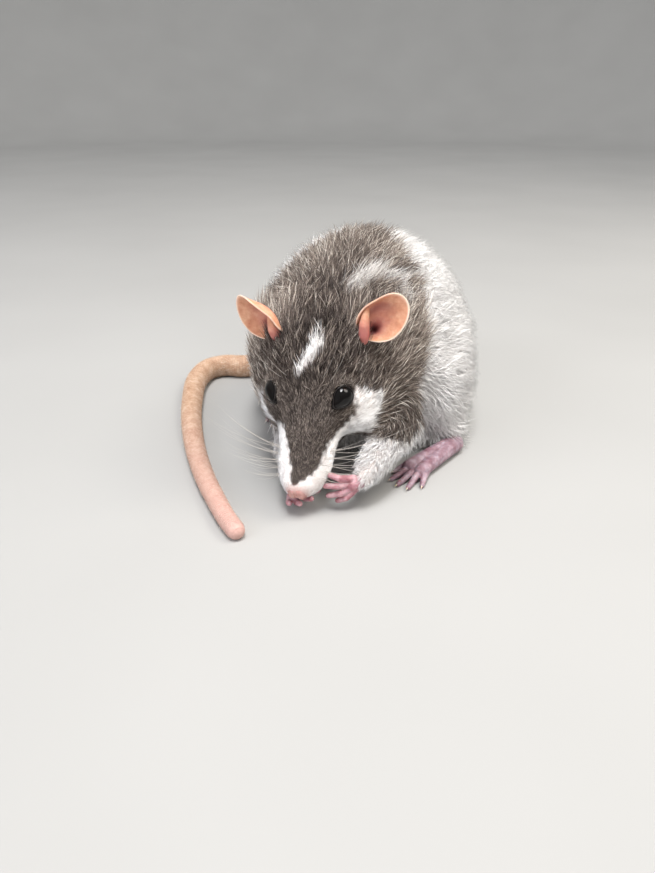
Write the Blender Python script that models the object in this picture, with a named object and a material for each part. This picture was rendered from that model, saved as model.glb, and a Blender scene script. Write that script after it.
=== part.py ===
"""A life-size pet rat, crouched on its haunches with both hands held under its nose.

The animal is modelled whole: soft masses are blended into one skin, which is then parted by thin
cuts into head, neck, torso, arms and thighs. Ears, eyes, hands, feet and tail are solids of their
own that meet that skin. The rat faces -Y, its left side is +X, and the floor is Z = 0.
Sizes and places are in millimetres, and finish turns each mesh into metres. The surface is the
outside of the coat. The rat is still: no piece of it moves.
"""

import math
from functools import partial

import bmesh
import bpy
import numpy as np
from mathutils import Euler, Matrix, Vector

MM = 0.001
GAP = 0.3
SLIVER = 0.05
WORLD = Matrix.Identity(4)
SIDES = {"left": 1, "right": -1}

# Head: placed by the middle of the line between the eyes, nose down toward the hands.
# In its own frame, as in the world, +X is the rat's left, -Y is forward and +Z is up.
EYE_MIDDLE = Vector((-2.2, -50.6, 33.3))
HEAD_PITCH = 55
HEAD_TURN = 3.4
HEAD_ROLL = 5
EYE_SIDE = 9.9
EYE_RADIUS = 3.4
EYE_OUT = (0.74, -0.30, 0.60)

# Ears: a shallow cup on a short root, its mouth turned forward and out.
EAR_ROOTS = {"left": (12.3, 16.4, 3.0), "right": (-8.2, 13.6, 4.4)}
EAR_AXES = {"left": (0.74, 0.60, 0.32), "right": (-0.66, 0.56, 0.46)}
EAR_OPENING = Vector((0.30, -0.26, 0.92))
EAR_LENGTH = 17.0
EAR_WIDTH = 14.2
EAR_CUP = 3.6
EAR_DEEP_SHIFT = 0.2
EAR_WALL = 0.8
EAR_NARROW = 0.80
EAR_FLARE = 0.06
EAR_STUB = Vector((0, 4.2, -7.9))
EAR_STUB_RADII = (4.4, 4.8, 4.2)

# Body
BACK_HEIGHT = 70.5
BODY_HALF_WIDTH = 37

# How softly masses run into each other
BODY_SOFT = 3.5
HEAD_SOFT = 1.6
ARM_SOFT = 1.0
JOIN_SOFT = 2.2
FINGER_SOFT = 0.3
FOOT_SOFT = 0.4

# How fine each skin is: the voxel it grows from, and the triangles it keeps
SKIN_VOXEL = 1.0
SKIN_TRIANGLES = 4900
HAND_VOXEL = 0.4
HAND_TRIANGLES = 640
FOOT_VOXEL = 0.5
FOOT_TRIANGLES = 720
CUTTER_VOXEL = 1.2
CUTTER_TRIANGLES = 260

# Limbs: each is a chain of points with the limb's radius there.
ARMS = {
    "left": ((14, -24, 30, 9.0), (21.5, -33, 19, 7.2), (15.6, -54.5, 9.6, 3.3)),
    "right": ((-16, -26, 29, 9.0), (-11.5, -37, 12.5, 6.6), (-5.6, -55.0, 4.8, 3.0)),
}
HANDS = {
    "left": {"aim": (-0.80, -0.52, -0.25), "spread": (-0.25, -0.1, 0.96), "palm": (-0.4, 0.9, 0)},
    "right": {"aim": (0.55, -0.83, -0.08), "spread": (0.75, 0.55, 0.35), "palm": (0.2, 0.2, 0.95)},
}
FINGER_ANGLES = (-33, -10, 12, 34)
FINGER_LENGTHS = (6.4, 8.0, 8.2, 6.6)
FINGER_THICK = (1.25, 0.95, 0.72)
PALM_RADII = (2.3, 2.5)
HAND_LOWEST = 0.3
THIGHS = {
    "left": Vector((26.5, 6, 21)),
    "right": Vector((-26.5, 13, 21)),
}
THIGH_RADII = (13, 25, 20)
SHANKS = {
    "left": ((28, -1, 14, 9.0), (33.5, -10, 7.5, 5.0)),
    "right": ((-30, 10, 13, 8.0), (-32, 18, 7.5, 5.0)),
}

# Hind feet: from the heel to the ball of the foot, toes beyond it.
FEET = {
    "left": (Vector((37.5, -12.5, 3.2)), Vector((27.4, -32, 2.6))),
    "right": (Vector((-33.0, 22, 3.2)), Vector((-27.0, -4, 2.6))),
}
TOE_SPREAD = (-24, -10, 1, 12, 27)
TOE_LENGTHS = (5.5, 9.5, 10.5, 10, 6.5)
TOE_THICK = (1.5, 1.25, 0.85)
TOE_HEIGHT = 1.9
TOE_TIP_HEIGHT = 0.8
THIGH_TURN = 8

# Tail: the plan of its middle line on the floor, from the rump to the tip.
TAIL_ROUTE = (
    (-3, 48), (-20, 52.5), (-37, 46), (-48, 36.5), (-57.5, 30), (-66.3, 28.3), (-71.6, 22),
    (-70.8, 10), (-65.5, -4), (-58, -20), (-50, -34.3), (-42, -46.7), (-34, -57.5),
    (-26, -67), (-19.8, -74), (-14.5, -79),
)
TAIL_BASE_RADIUS = 6.0
TAIL_TIP_RADIUS = 2.7
TAIL_ROOT_LIFT = 7
TAIL_NAMES = ("tail_base", "tail_second", "tail_third", "tail_fourth", "tail_end")
TAIL_SIDES = 12
TAIL_RINGS = 12
TAIL_SUNK = 0.35
TAIL_TAPER = 0.85
TAIL_ROOT = 0.12
TAIL_DOME = (28, 52, 74)

# Colour and roughness of each coat or skin
COATS = {
    "hood": ((0.13, 0.105, 0.085, 1), 0.85),
    "white": ((0.74, 0.71, 0.66, 1), 0.85),
    "bare": ((0.62, 0.36, 0.31, 1), 0.55),
    "tail": ((0.55, 0.33, 0.20, 1), 0.6),
    "eye": ((0.012, 0.008, 0.008, 1), 0.08),
}


def clear_scene():
    for old in list(bpy.data.objects):
        bpy.data.objects.remove(old, do_unlink=True)


def turned(degrees):
    return Euler([math.radians(angle) for angle in degrees]).to_matrix().to_4x4()


def head_frame():
    return (
        Matrix.Translation(EYE_MIDDLE)
        @ turned((0, 0, HEAD_TURN))
        @ turned((HEAD_PITCH, 0, 0))
        @ turned((0, -HEAD_ROLL, 0))
    )


HEAD = head_frame()


# Masses: an egg is an ellipsoid, and a chain is a limb of round stretches.
def egg(centre, radii, frame=WORLD, tilt=(0, 0, 0)):
    return {"place": frame @ Matrix.Translation(centre) @ turned(tilt), "radii": radii}


def chain(stations, frame=WORLD):
    centres = [frame @ Vector(station[:3]) for station in stations]
    return {"centres": centres, "thick": [station[3] for station in stations]}


def pair(make, side, height_depth, radii, tilt=(0, 0, 0)):
    """Two eggs of the head, one each side of its middle."""
    depth, height = height_depth
    return [
        make((sign * side, depth, height), radii, HEAD, (tilt[0], tilt[1], sign * tilt[2]))
        for sign in SIDES.values()
    ]


def head_masses():
    return [
        egg((0, 15, -6.5), (16, 19, 13.5), HEAD),
        egg((0, 2, -5), (12, 17, 10.8), HEAD, (4, 0, 0)),
        *pair(egg, 9.2, (6.5, -12), (10.4, 15, 11.2)),
        egg((0, -13, -5), (7.0, 15, 6.9), HEAD, (5, 0, 0)),
        egg((0, -21.5, -4.2), (4.3, 7, 4.6), HEAD),
        *pair(egg, 2.6, (-17.8, -6.0), (3.9, 6.8, 4.1), (0, 0, 8)),
        egg((0, -26.6, -2.2), (2.7, 2.2, 2.2), HEAD),
        egg((0, 8, -15), (12, 15, 9), HEAD),
        egg((0, -9, -12), (6, 14, 5.2), HEAD, (-6, 0, 0)),
    ]


def body_masses():
    return [
        egg((-1, 6, 32), (BODY_HALF_WIDTH - 2.5, 43, BACK_HEIGHT - 33.5)),
        egg((0, 24, 28), (BODY_HALF_WIDTH - 3, 32, 31)),
        egg((-2.5, -14, 34), (27.5, 30, 26), WORLD, (-12, 0, 0)),
        egg((-2, -26, 38), (19, 20, 18), WORLD, (-30, 0, 0)),
    ]


def arm_mass(side):
    return chain(ARMS[side])


def thigh_masses(side):
    return [
        egg(THIGHS[side], THIGH_RADII, WORLD, (0, 0, THIGH_TURN * SIDES[side])),
        chain(SHANKS[side]),
    ]


# Blending: the skin is where the blended distance to the masses is nought.
def egg_distance(mass, points):
    turn = np.array(mass["place"].to_3x3())
    radii = np.array(mass["radii"], float)
    local = (points - np.array(mass["place"].translation)) @ turn
    near = np.linalg.norm(local / radii, axis=1)
    slope = np.linalg.norm(local / radii**2, axis=1)
    return near * (near - 1) / np.maximum(slope, 1e-9)


def chain_distance(mass, points):
    best = np.full(len(points), np.inf)
    stops = list(zip(mass["centres"], mass["thick"]))
    for (start, thick), (end, thin) in zip(stops, stops[1:]):
        along = np.array(end - start)
        offset = points - np.array(start)
        part = np.clip(offset @ along / (along @ along), 0, 1)
        gap = np.linalg.norm(offset - part[:, None] * along, axis=1)
        best = np.minimum(best, gap - (thick + part * (thin - thick)))
    return best


def distance(mass, points):
    if "radii" in mass:
        return egg_distance(mass, points)
    return chain_distance(mass, points)


def blend(distances, softness):
    return -softness * np.logaddexp.reduce([-each / softness for each in distances])


def masses_distance(masses, softness, points):
    return blend([distance(mass, points) for mass in masses], softness)


def skin_distance(groups, softness, points):
    """groups holds (masses, softness) pairs, and softness is that of the blend between groups."""
    return blend([masses_distance(masses, soft, points) for masses, soft in groups], softness)


# Meshes
def mesh_object(name, bm):
    mesh = bpy.data.meshes.new(name)
    bm.to_mesh(mesh)
    bm.free()
    obj = bpy.data.objects.new(name, mesh)
    bpy.context.scene.collection.objects.link(obj)
    return obj


def add_ball(bm, place, radii, subdivisions=3):
    size = Matrix.Diagonal((*radii, 1))
    bmesh.ops.create_icosphere(bm, subdivisions=subdivisions, radius=1, matrix=place @ size)


def add_mass(bm, mass, grow=0):
    """The mass as overlapping balls, as a seed for the skin or, grown, as a cutter."""
    if "radii" in mass:
        add_ball(bm, mass["place"], [radius + grow for radius in mass["radii"]])
        return
    stops = list(zip(mass["centres"], mass["thick"]))
    for (start, thick), (end, thin) in zip(stops, stops[1:]):
        steps = max(2, math.ceil((end - start).length / (0.4 * min(thick, thin))))
        for step in range(steps + 1):
            part = step / steps
            radius = thick + part * (thin - thick) + grow
            add_ball(bm, Matrix.Translation(start.lerp(end, part)), [radius] * 3, 2)


def apply_modifiers(obj):
    graph = bpy.context.evaluated_depsgraph_get()
    mesh = bpy.data.meshes.new_from_object(obj.evaluated_get(graph), depsgraph=graph)
    obj.modifiers.clear()
    old = obj.data
    obj.data = mesh
    bpy.data.meshes.remove(old)


def remesh(obj, voxel):
    modifier = obj.modifiers.new("Remesh", "REMESH")
    modifier.mode = "VOXEL"
    modifier.voxel_size = voxel
    apply_modifiers(obj)


def decimate(obj, triangles):
    faces = sum(len(face.vertices) - 2 for face in obj.data.polygons)
    modifier = obj.modifiers.new("Decimate", "DECIMATE")
    modifier.ratio = min(1, triangles / faces)
    apply_modifiers(obj)


def vertex_array(obj):
    points = np.empty(len(obj.data.vertices) * 3)
    obj.data.vertices.foreach_get("co", points)
    return points.reshape(-1, 3)


def set_vertices(obj, points):
    obj.data.vertices.foreach_set("co", points.ravel())
    obj.data.update()


def drawn(points, field, passes=8, probe=0.05):
    """The points moved down the slope of the field until they lie where it is nought."""
    steps = probe * np.eye(3)
    for _ in range(passes):
        here = field(points)
        slope = np.stack([field(points + step) - here for step in steps], axis=1) / probe
        steep = np.maximum((slope**2).sum(axis=1), 0.2)
        points = points - (here / steep)[:, None] * slope
    return points


def draw_onto(obj, field, passes=8):
    set_vertices(obj, drawn(vertex_array(obj), field, passes))


def relax(obj, rounds):
    bm = bmesh.new()
    bm.from_mesh(obj.data)
    for _ in range(rounds):
        bmesh.ops.smooth_vert(
            bm, verts=bm.verts, factor=0.5, use_axis_x=True, use_axis_y=True, use_axis_z=True
        )
    bm.to_mesh(obj.data)
    bm.free()


def skin_over(name, groups, softness, voxel, triangles):
    bm = bmesh.new()
    for masses, _ in groups:
        for mass in masses:
            add_mass(bm, mass)
    skin = mesh_object(name, bm)
    remesh(skin, voxel)
    field = partial(skin_distance, groups, softness)
    relax(skin, 3)
    draw_onto(skin, field)
    relax(skin, 1)
    draw_onto(skin, field, 3)
    decimate(skin, triangles)
    return skin


def rest_on_floor(obj, lowest=0.0):
    """Flattens what would hang below the floor, which makes the small flats that the rat rests on."""
    points = vertex_array(obj)
    points[:, 2] = np.maximum(points[:, 2], lowest)
    set_vertices(obj, points)


def copy_of(obj, name):
    other = bpy.data.objects.new(name, obj.data.copy())
    bpy.context.scene.collection.objects.link(other)
    return other


def combine(obj, other, operation):
    """Joins or cuts two closed meshes. EXACT gives nothing for some of these skins, so it is MANIFOLD."""
    modifier = obj.modifiers.new("Combine", "BOOLEAN")
    modifier.operation = operation
    modifier.solver = "MANIFOLD"
    modifier.object = other
    apply_modifiers(obj)


def discard(*objects):
    for obj in objects:
        bpy.data.objects.remove(obj, do_unlink=True)


def keep_largest(obj):
    """Leaves only the piece with the largest box, and drops the scraps that a cut left."""
    bm = bmesh.new()
    bm.from_mesh(obj.data)
    bmesh.ops.triangulate(bm, faces=bm.faces)
    left = set(bm.verts)
    pieces = []
    while left:
        piece = {left.pop()}
        edge = set(piece)
        while edge:
            edge = {e.other_vert(v) for v in edge for e in v.link_edges} - piece
            piece |= edge
        left -= piece
        pieces.append(piece)
    pieces.sort(key=box_size, reverse=True)
    for piece in pieces[1:]:
        bmesh.ops.delete(bm, geom=list(piece), context="VERTS")
    bm.to_mesh(obj.data)
    bm.free()


def without_slivers(obj):
    """Melts the tiny edges and needle faces that cuts leave, for a STEP solid holds them badly.

    Where that would open the surface, the object stays as it was.
    """
    bm = bmesh.new()
    bm.from_mesh(obj.data)
    bmesh.ops.triangulate(bm, faces=bm.faces)
    for _ in range(5):
        melt_edges(bm)
        split_needles(bm)
    melt_edges(bm)
    if all(edge.is_manifold and edge.is_contiguous for edge in bm.edges):
        bm.to_mesh(obj.data)
    bm.free()


def height_of(face):
    """A triangle's height over its longest edge."""
    return 2 * face.calc_area() / max(edge.calc_length() for edge in face.edges)


def tip_of(face, edge):
    return next(vert for vert in face.verts if vert not in edge.verts)


def normal_with(face, moved, place):
    """The face's normal, times its area, once the moved vertices stand at the place."""
    first, second, third = (place if vert in moved else vert.co for vert in face.verts)
    return (second - first).cross(third - first)


def can_melt(edge, place):
    """True where melting the edge leaves the surface closed and turns no face over."""
    first, second = edge.verts
    around_first = {other.other_vert(first) for other in first.link_edges}
    around_second = {other.other_vert(second) for other in second.link_edges}
    tips = {tip_of(face, edge) for face in edge.link_faces}
    if len(tips) != 2 or around_first & around_second != tips:
        return False
    near = (set(first.link_faces) | set(second.link_faces)) - set(edge.link_faces)
    return all(
        face.calc_area() < 0.001
        or normal_with(face, edge.verts, place).dot(face.normal) > 0.3 * face.calc_area()
        for face in near
    )


def melt_edges(bm):
    for edge in sorted(bm.edges, key=lambda edge: edge.calc_length()):
        if not edge.is_valid or edge.calc_length() > SLIVER:
            continue
        place = (edge.verts[0].co + edge.verts[1].co) / 2
        if can_melt(edge, place):
            bmesh.ops.pointmerge(bm, verts=list(edge.verts), merge_co=place)
            bm.normal_update()


def split_needles(bm):
    """Splits each needle's longest edge beside its tip, which leaves one tiny edge to melt."""
    for face in list(bm.faces):
        if not face.is_valid or height_of(face) > SLIVER:
            continue
        edge = max(face.edges, key=lambda edge: edge.calc_length())
        start, end = edge.verts
        tips = [(link, tip_of(link, edge)) for link in edge.link_faces]
        tip = tip_of(face, edge)
        way = end.co - start.co
        part = (tip.co - start.co).dot(way) / way.length_squared
        if min(part, 1 - part) * way.length < SLIVER or tips[0][1] is tips[1][1]:
            continue
        _, middle = bmesh.utils.edge_split(edge, start, part)
        for link, far in tips:
            bmesh.utils.face_split(link, middle, far)


def box_size(verts):
    points = np.array([vert.co for vert in verts])
    return float(np.prod(np.ptp(points, axis=0) + 0.01))


def cutter_of(name, masses, grow):
    bm = bmesh.new()
    for mass in masses:
        add_mass(bm, mass, grow)
    cutter = mesh_object(name, bm)
    remesh(cutter, CUTTER_VOXEL)
    draw_onto(cutter, lambda points: masses_distance(masses, ARM_SOFT, points) - grow)
    decimate(cutter, CUTTER_TRIANGLES)
    return cutter


def half_space(name, point, normal, reach=160):
    """A large block whose one face passes through the point, and which lies on the normal's side."""
    bm = bmesh.new()
    lean = Vector((0, 0, 1)).rotation_difference(Vector(normal).normalized()).to_matrix().to_4x4()
    up = Matrix.Translation((0, 0, reach / 2))
    bmesh.ops.create_cube(bm, size=reach, matrix=Matrix.Translation(point) @ lean @ up)
    return mesh_object(name, bm)


def cut_by_plane(obj, point, normal):
    """Keeps what lies on the normal's side of the plane."""
    block = half_space("block", point, normal)
    combine(obj, block, "INTERSECT")
    discard(block)


# The whole skin
def whole_skin():
    groups = [
        (body_masses() + [mass for side in SIDES for mass in thigh_masses(side)], BODY_SOFT),
        (head_masses(), HEAD_SOFT),
        ([arm_mass("left")], ARM_SOFT),
        ([arm_mass("right")], ARM_SOFT),
    ]
    skin = skin_over("whole", groups, JOIN_SOFT, SKIN_VOXEL, SKIN_TRIANGLES)
    rest_on_floor(skin)
    return skin


# The head's details
def unit(direction):
    return Vector(direction).normalized()


def onto_skin(stations):
    """Head-frame points moved onto the skin of the head, in world millimetres."""
    points = np.array([HEAD @ Vector(station) for station in stations])
    on_skin = drawn(points, partial(masses_distance, head_masses(), HEAD_SOFT))
    return [Vector(point) for point in on_skin]


def smooth_route(points, count):
    """Points evenly along a Catmull-Rom curve through the given ones."""
    ends = [points[0] * 2 - points[1], *points, points[-1] * 2 - points[-2]]
    fine = []
    for before, start, end, after in zip(ends, ends[1:], ends[2:], ends[3:]):
        for step in range(16):
            t = step / 16
            fine.append(0.5 * (
                2 * start + (end - before) * t + (2 * before - 5 * start + 4 * end - after) * t**2
                + (3 * start - before - 3 * end + after) * t**3
            ))
    fine.append(points[-1])
    lengths = [0.0]
    for start, end in zip(fine, fine[1:]):
        lengths.append(lengths[-1] + (end - start).length)
    wanted = np.linspace(0, lengths[-1], count)
    axes = np.array(fine)
    return [Vector([np.interp(want, lengths, axes[:, axis]) for axis in range(3)]) for want in wanted]


def directions(centres):
    """The way ahead at each point of a route."""
    last = len(centres) - 1
    return [
        (centres[min(index + 1, last)] - centres[max(index - 1, 0)]).normalized()
        for index in range(last + 1)
    ]


def tube(name, centres, aheads, radii, sides, floor=None):
    """A closed tube with flat ends. With a floor, what hangs below it is flattened."""
    bm = bmesh.new()
    rings = []
    for centre, ahead, radius in zip(centres, aheads, radii):
        side = ahead.cross(Vector((0, 0, 1))).normalized()
        up = side.cross(ahead).normalized()
        ring = []
        for step in range(sides):
            angle = 2 * math.pi * (step + 0.5) / sides
            point = centre + radius * (math.cos(angle) * side + math.sin(angle) * up)
            if floor is not None:
                point.z = max(point.z, floor)
            ring.append(bm.verts.new(point))
        rings.append(ring)
    for ring, following in zip(rings, rings[1:]):
        for step in range(sides):
            after = (step + 1) % sides
            bm.faces.new((ring[step], ring[after], following[after], following[step]))
    bm.faces.new(rings[0])
    bm.faces.new(reversed(rings[-1]))
    bmesh.ops.recalc_face_normals(bm, faces=bm.faces)
    return mesh_object(name, bm)


MOUTH_LINE = ((6.5, -12, -9.6), (4.6, -18.5, -9.4), (2.4, -24, -8.6), (0, -26.5, -7.8))
MOUTH_GROOVE = 0.42
PHILTRUM = ((0, -28.6, -3.2), (0, -28.0, -5.2), (0, -26.9, -7.4))
PHILTRUM_GROOVE = 0.3
GROOVE_SIDES = 6
NOSTRIL = (1.45, -28.3, -2.0)
NOSTRIL_RADII = (0.5, 1.1, 0.8)
NOSTRIL_TURN = (0, 25, 30)
LID_RISE = 1.0
LID_RADIUS = 3.45
LID_THICK = 0.85
LID_STRETCH = 1.12
LID_SLIT = Vector((0, -1, -0.25))
LID_AROUND = 22
LID_ACROSS = 6


def cut_mouth(head):
    """The line of the mouth from cheek to cheek, and the cleft from the nose down to it."""
    line = list(MOUTH_LINE) + [(-x, y, z) for x, y, z in reversed(MOUTH_LINE[:-1])]
    for name, stations, radius in (
        ("mouth", line, MOUTH_GROOVE),
        ("philtrum", PHILTRUM, PHILTRUM_GROOVE),
    ):
        route = smooth_route(onto_skin(stations), 6 * len(stations))
        groove = tube(name, route, directions(route), [radius] * len(route), GROOVE_SIDES)
        combine(head, groove, "DIFFERENCE")
        discard(groove)


def cut_nostrils(head):
    for sign in SIDES.values():
        x, y, z = NOSTRIL
        turn = turned([sign * angle for angle in NOSTRIL_TURN])
        bm = bmesh.new()
        add_ball(bm, HEAD @ Matrix.Translation((sign * x, y, z)) @ turn, NOSTRIL_RADII, 2)
        hole = mesh_object("nostril", bm)
        combine(head, hole, "DIFFERENCE")
        discard(hole)


def eye_place(side):
    """The eye's frame: its Z looks out of the head, and its X runs along the slit of the lids."""
    sign = SIDES[side]
    x, y, z = EYE_OUT
    out = unit((sign * x, y, z))
    along = unit(LID_SLIT - out * out.dot(LID_SLIT))
    turn = Matrix((along, out.cross(along), out)).transposed().to_4x4()
    return HEAD @ Matrix.Translation((sign * EYE_SIDE, 0, 0)) @ turn


def lid_ring(side):
    """A raised oval rim round the eye."""
    bm = bmesh.new()
    rings = []
    for step in range(LID_AROUND):
        angle = 2 * math.pi * step / LID_AROUND
        radial = Vector((math.cos(angle), math.sin(angle), 0))
        ring = []
        for turn in range(LID_ACROSS):
            tilt = 2 * math.pi * turn / LID_ACROSS
            point = radial * (LID_RADIUS + LID_THICK * math.cos(tilt))
            point.x *= LID_STRETCH
            point.z = LID_RISE + LID_THICK * math.sin(tilt)
            ring.append(bm.verts.new(eye_place(side) @ point))
        rings.append(ring)
    for ring, following in zip(rings, rings[1:] + rings[:1]):
        for turn in range(LID_ACROSS):
            after = (turn + 1) % LID_ACROSS
            bm.faces.new((ring[turn], following[turn], following[after], ring[after]))
    bmesh.ops.recalc_face_normals(bm, faces=bm.faces)
    return mesh_object("lids", bm)


def set_eye(head, side):
    """Joins the lids to the head, hollows the socket behind them and makes the eyeball."""
    lids = lid_ring(side)
    combine(head, lids, "UNION")
    bm = bmesh.new()
    add_ball(bm, eye_place(side), [EYE_RADIUS + GAP] * 3)
    socket = mesh_object("socket", bm)
    combine(head, socket, "DIFFERENCE")
    discard(lids, socket)
    bm = bmesh.new()
    add_ball(bm, eye_place(side), [EYE_RADIUS] * 3)
    return mesh_object(f"eye_{side}", bm)


# Ears
def ear_place(side):
    """The ear's frame in the world: X across it, Y from root to tip, Z out of its mouth."""
    sign = SIDES[side]
    length = unit(EAR_AXES[side])
    opening = Vector((sign * EAR_OPENING.x, EAR_OPENING.y, EAR_OPENING.z))
    opening = (opening - length * length.dot(opening)).normalized()
    across = length.cross(opening)
    turn = Matrix((across, length, opening)).transposed().to_4x4()
    return HEAD @ Matrix.Translation(EAR_ROOTS[side]) @ turn


def ear_bowl(side, rings=5, around=22):
    """The open cup of the ear as a single sheet, deepest near the root, narrower below."""
    bm = bmesh.new()
    place = ear_place(side)
    rows = []
    for row in range(1, rings + 1):
        reach = row / rings
        verts = []
        for step in range(around):
            angle = 2 * math.pi * step / around
            x = 0.5 * EAR_WIDTH * reach * math.cos(angle)
            y = EAR_LENGTH * (0.5 + 0.5 * reach * math.sin(angle) - EAR_DEEP_SHIFT * (1 - reach))
            x *= EAR_NARROW + (1 - EAR_NARROW) * min(1, y / (0.55 * EAR_LENGTH))
            z = -EAR_CUP * (1 - reach**2) + EAR_FLARE * abs(x) * reach
            verts.append(bm.verts.new(place @ Vector((x, y, z))))
        rows.append(verts)
    deepest = (0, EAR_LENGTH * (0.5 - EAR_DEEP_SHIFT), -EAR_CUP)
    middle = bm.verts.new(place @ Vector(deepest))
    for step in range(around):
        after = (step + 1) % around
        bm.faces.new((middle, rows[0][step], rows[0][after]))
        for inner, outer in zip(rows, rows[1:]):
            bm.faces.new((inner[step], outer[step], outer[after], inner[after]))
    return mesh_object(f"ear_{side}", bm)


def make_ear(side, grown_skin):
    ear = ear_bowl(side)
    wall = ear.modifiers.new("Wall", "SOLIDIFY")
    wall.thickness = EAR_WALL
    wall.offset = -1
    apply_modifiers(ear)
    bm = bmesh.new()
    bm.from_mesh(ear.data)
    bmesh.ops.recalc_face_normals(bm, faces=bm.faces)
    bm.to_mesh(ear.data)
    bm.free()
    bm = bmesh.new()
    add_ball(bm, ear_place(side) @ Matrix.Translation(EAR_STUB), EAR_STUB_RADII, 2)
    root = mesh_object("root", bm)
    combine(ear, root, "UNION")
    combine(ear, grown_skin, "DIFFERENCE")
    discard(root)
    keep_largest(ear)
    return ear


# Hands and feet
def square_to(aim, direction):
    """The direction made square to the aim."""
    direction = Vector(direction)
    return unit(direction - aim * aim.dot(direction))


def digit(joints, thick):
    return chain([(*joint, radius) for joint, radius in zip(joints, thick)])


def make_hand(side, grown_skin):
    """A palm with four fingers that bend toward what the hand holds."""
    wrist = Vector(ARMS[side][2][:3])
    aim = unit(HANDS[side]["aim"])
    spread = square_to(aim, HANDS[side]["spread"])
    palm = square_to(aim, HANDS[side]["palm"])
    masses = [digit((wrist - aim * 1.0, wrist + aim * 3.4), PALM_RADII)]
    for angle, length in zip(FINGER_ANGLES, FINGER_LENGTHS):
        out = aim * math.cos(math.radians(angle)) + spread * math.sin(math.radians(angle))
        start = wrist + aim * 2.6 + spread * 1.9 * math.sin(math.radians(2 * angle))
        bend = start + out * 0.55 * length - palm * 0.6
        tip = start + out * length + palm * 1.6
        masses.append(digit((start, bend, tip), FINGER_THICK))
    groups = [(masses, FINGER_SOFT)]
    hand = skin_over(f"hand_{side}", groups, FINGER_SOFT, HAND_VOXEL, HAND_TRIANGLES)
    rest_on_floor(hand, HAND_LOWEST)
    combine(hand, grown_skin, "DIFFERENCE")
    keep_largest(hand)
    return hand


def make_foot(side):
    """A long narrow sole with five toes spread from the ball."""
    sign = SIDES[side]
    heel, ball = FEET[side]
    aim = (ball - heel).normalized()
    across = Vector((-aim.y, aim.x, 0)).normalized() * sign
    masses = [
        chain([(*heel, 3.4), (*(ball - across * 2.2), 2.5)]),
        chain([(*heel, 3.2), (*(ball + across * 2.4), 2.4)]),
    ]
    for angle, length in zip(TOE_SPREAD, TOE_LENGTHS):
        side_step = across * 3.6 * math.sin(math.radians(2.4 * angle))
        out = aim * math.cos(math.radians(angle)) + across * math.sin(math.radians(angle))
        start = ball + side_step - aim * 1.5
        start.z = TOE_HEIGHT
        knuckle = start + out * 0.5 * length
        tip = start + out * length
        tip.z = TOE_TIP_HEIGHT
        masses.append(digit((start, knuckle, tip), TOE_THICK))
    groups = [(masses, FOOT_SOFT)]
    foot = skin_over(f"hind_foot_{side}", groups, FOOT_SOFT, FOOT_VOXEL, FOOT_TRIANGLES)
    rest_on_floor(foot)
    return foot


def grown_copy(obj, name):
    """The object with its skin pushed out by the gap that touching pieces keep."""
    other = copy_of(obj, name)
    swell = other.modifiers.new("Swell", "DISPLACE")
    swell.strength = GAP
    swell.mid_level = 0
    apply_modifiers(other)
    return other


# Tail
def tail_stations(count):
    """Points along the tail's middle line, and its radius at each."""
    route = smooth_route([Vector((x, y, 0)) for x, y in TAIL_ROUTE], count)
    radii = []
    for index, point in enumerate(route):
        part = index / (count - 1)
        radius = TAIL_BASE_RADIUS + part**TAIL_TAPER * (TAIL_TIP_RADIUS - TAIL_BASE_RADIUS)
        lift = TAIL_ROOT_LIFT * max(0, 1 - part / TAIL_ROOT) ** 2
        point.z = radius - TAIL_SUNK + lift
        radii.append(radius)
    return route, radii


def make_tail(grown_skin):
    route, radii = tail_stations(TAIL_RINGS * len(TAIL_NAMES) + 1)
    aheads = directions(route)
    for order, name in enumerate(TAIL_NAMES):
        first = order * TAIL_RINGS
        last = first + TAIL_RINGS
        stations = [
            [route[index].copy(), aheads[index], radii[index]] for index in range(first, last + 1)
        ]
        stations[0][0] += aheads[first] * GAP / 2
        if name == TAIL_NAMES[-1]:
            stations += rounded_end(*stations[-1])
        else:
            stations[-1][0] -= aheads[last] * GAP / 2
        piece = tube(name, *zip(*stations), TAIL_SIDES, 0.0)
        combine(piece, grown_skin, "DIFFERENCE")
        keep_largest(piece)


def rounded_end(tip, ahead, radius):
    """Rings that close the tip with a dome."""
    rings = []
    for angle in TAIL_DOME:
        turn = math.radians(angle)
        centre = tip + ahead * radius * math.sin(turn)
        centre.z = max(radius * math.cos(turn), tip.z - 0.2)
        rings.append([centre, ahead, radius * math.cos(turn)])
    return rings


# Parting: a piece is what of the skin lies inside its own masses, grown a little.
NECK_CUT = (Vector((-1, -19, 42)), Vector((0, -0.8, 0.6)))
ELBOW_CUTS = {
    "left": (Vector((20.6, -36.5, 17.6)), Vector((-0.26, -0.88, -0.38))),
    "right": (Vector((-11.0, -40.5, 11.3)), Vector((0.26, -0.88, -0.40))),
}
HEAD_BLOCK_BACK = 31
HEAD_BLOCK_BELOW = -21
HEAD_BLOCK_SIZE = 130
ARM_GROW = 1.6
THIGH_OUT = 8
THIGH_REGION = (15, 27, 21)


def take_out(whole, name, inner, outer):
    """Makes the piece of the whole that lies inside the inner cutter. The outer leaves its socket."""
    piece = copy_of(whole, name)
    combine(piece, inner, "INTERSECT")
    combine(whole, outer, "DIFFERENCE")
    discard(inner, outer)
    keep_largest(piece)
    return piece


def mass_cutters(masses, grow):
    inner = cutter_of("inner", masses, grow)
    return inner, grown_copy(inner, "outer")


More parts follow.
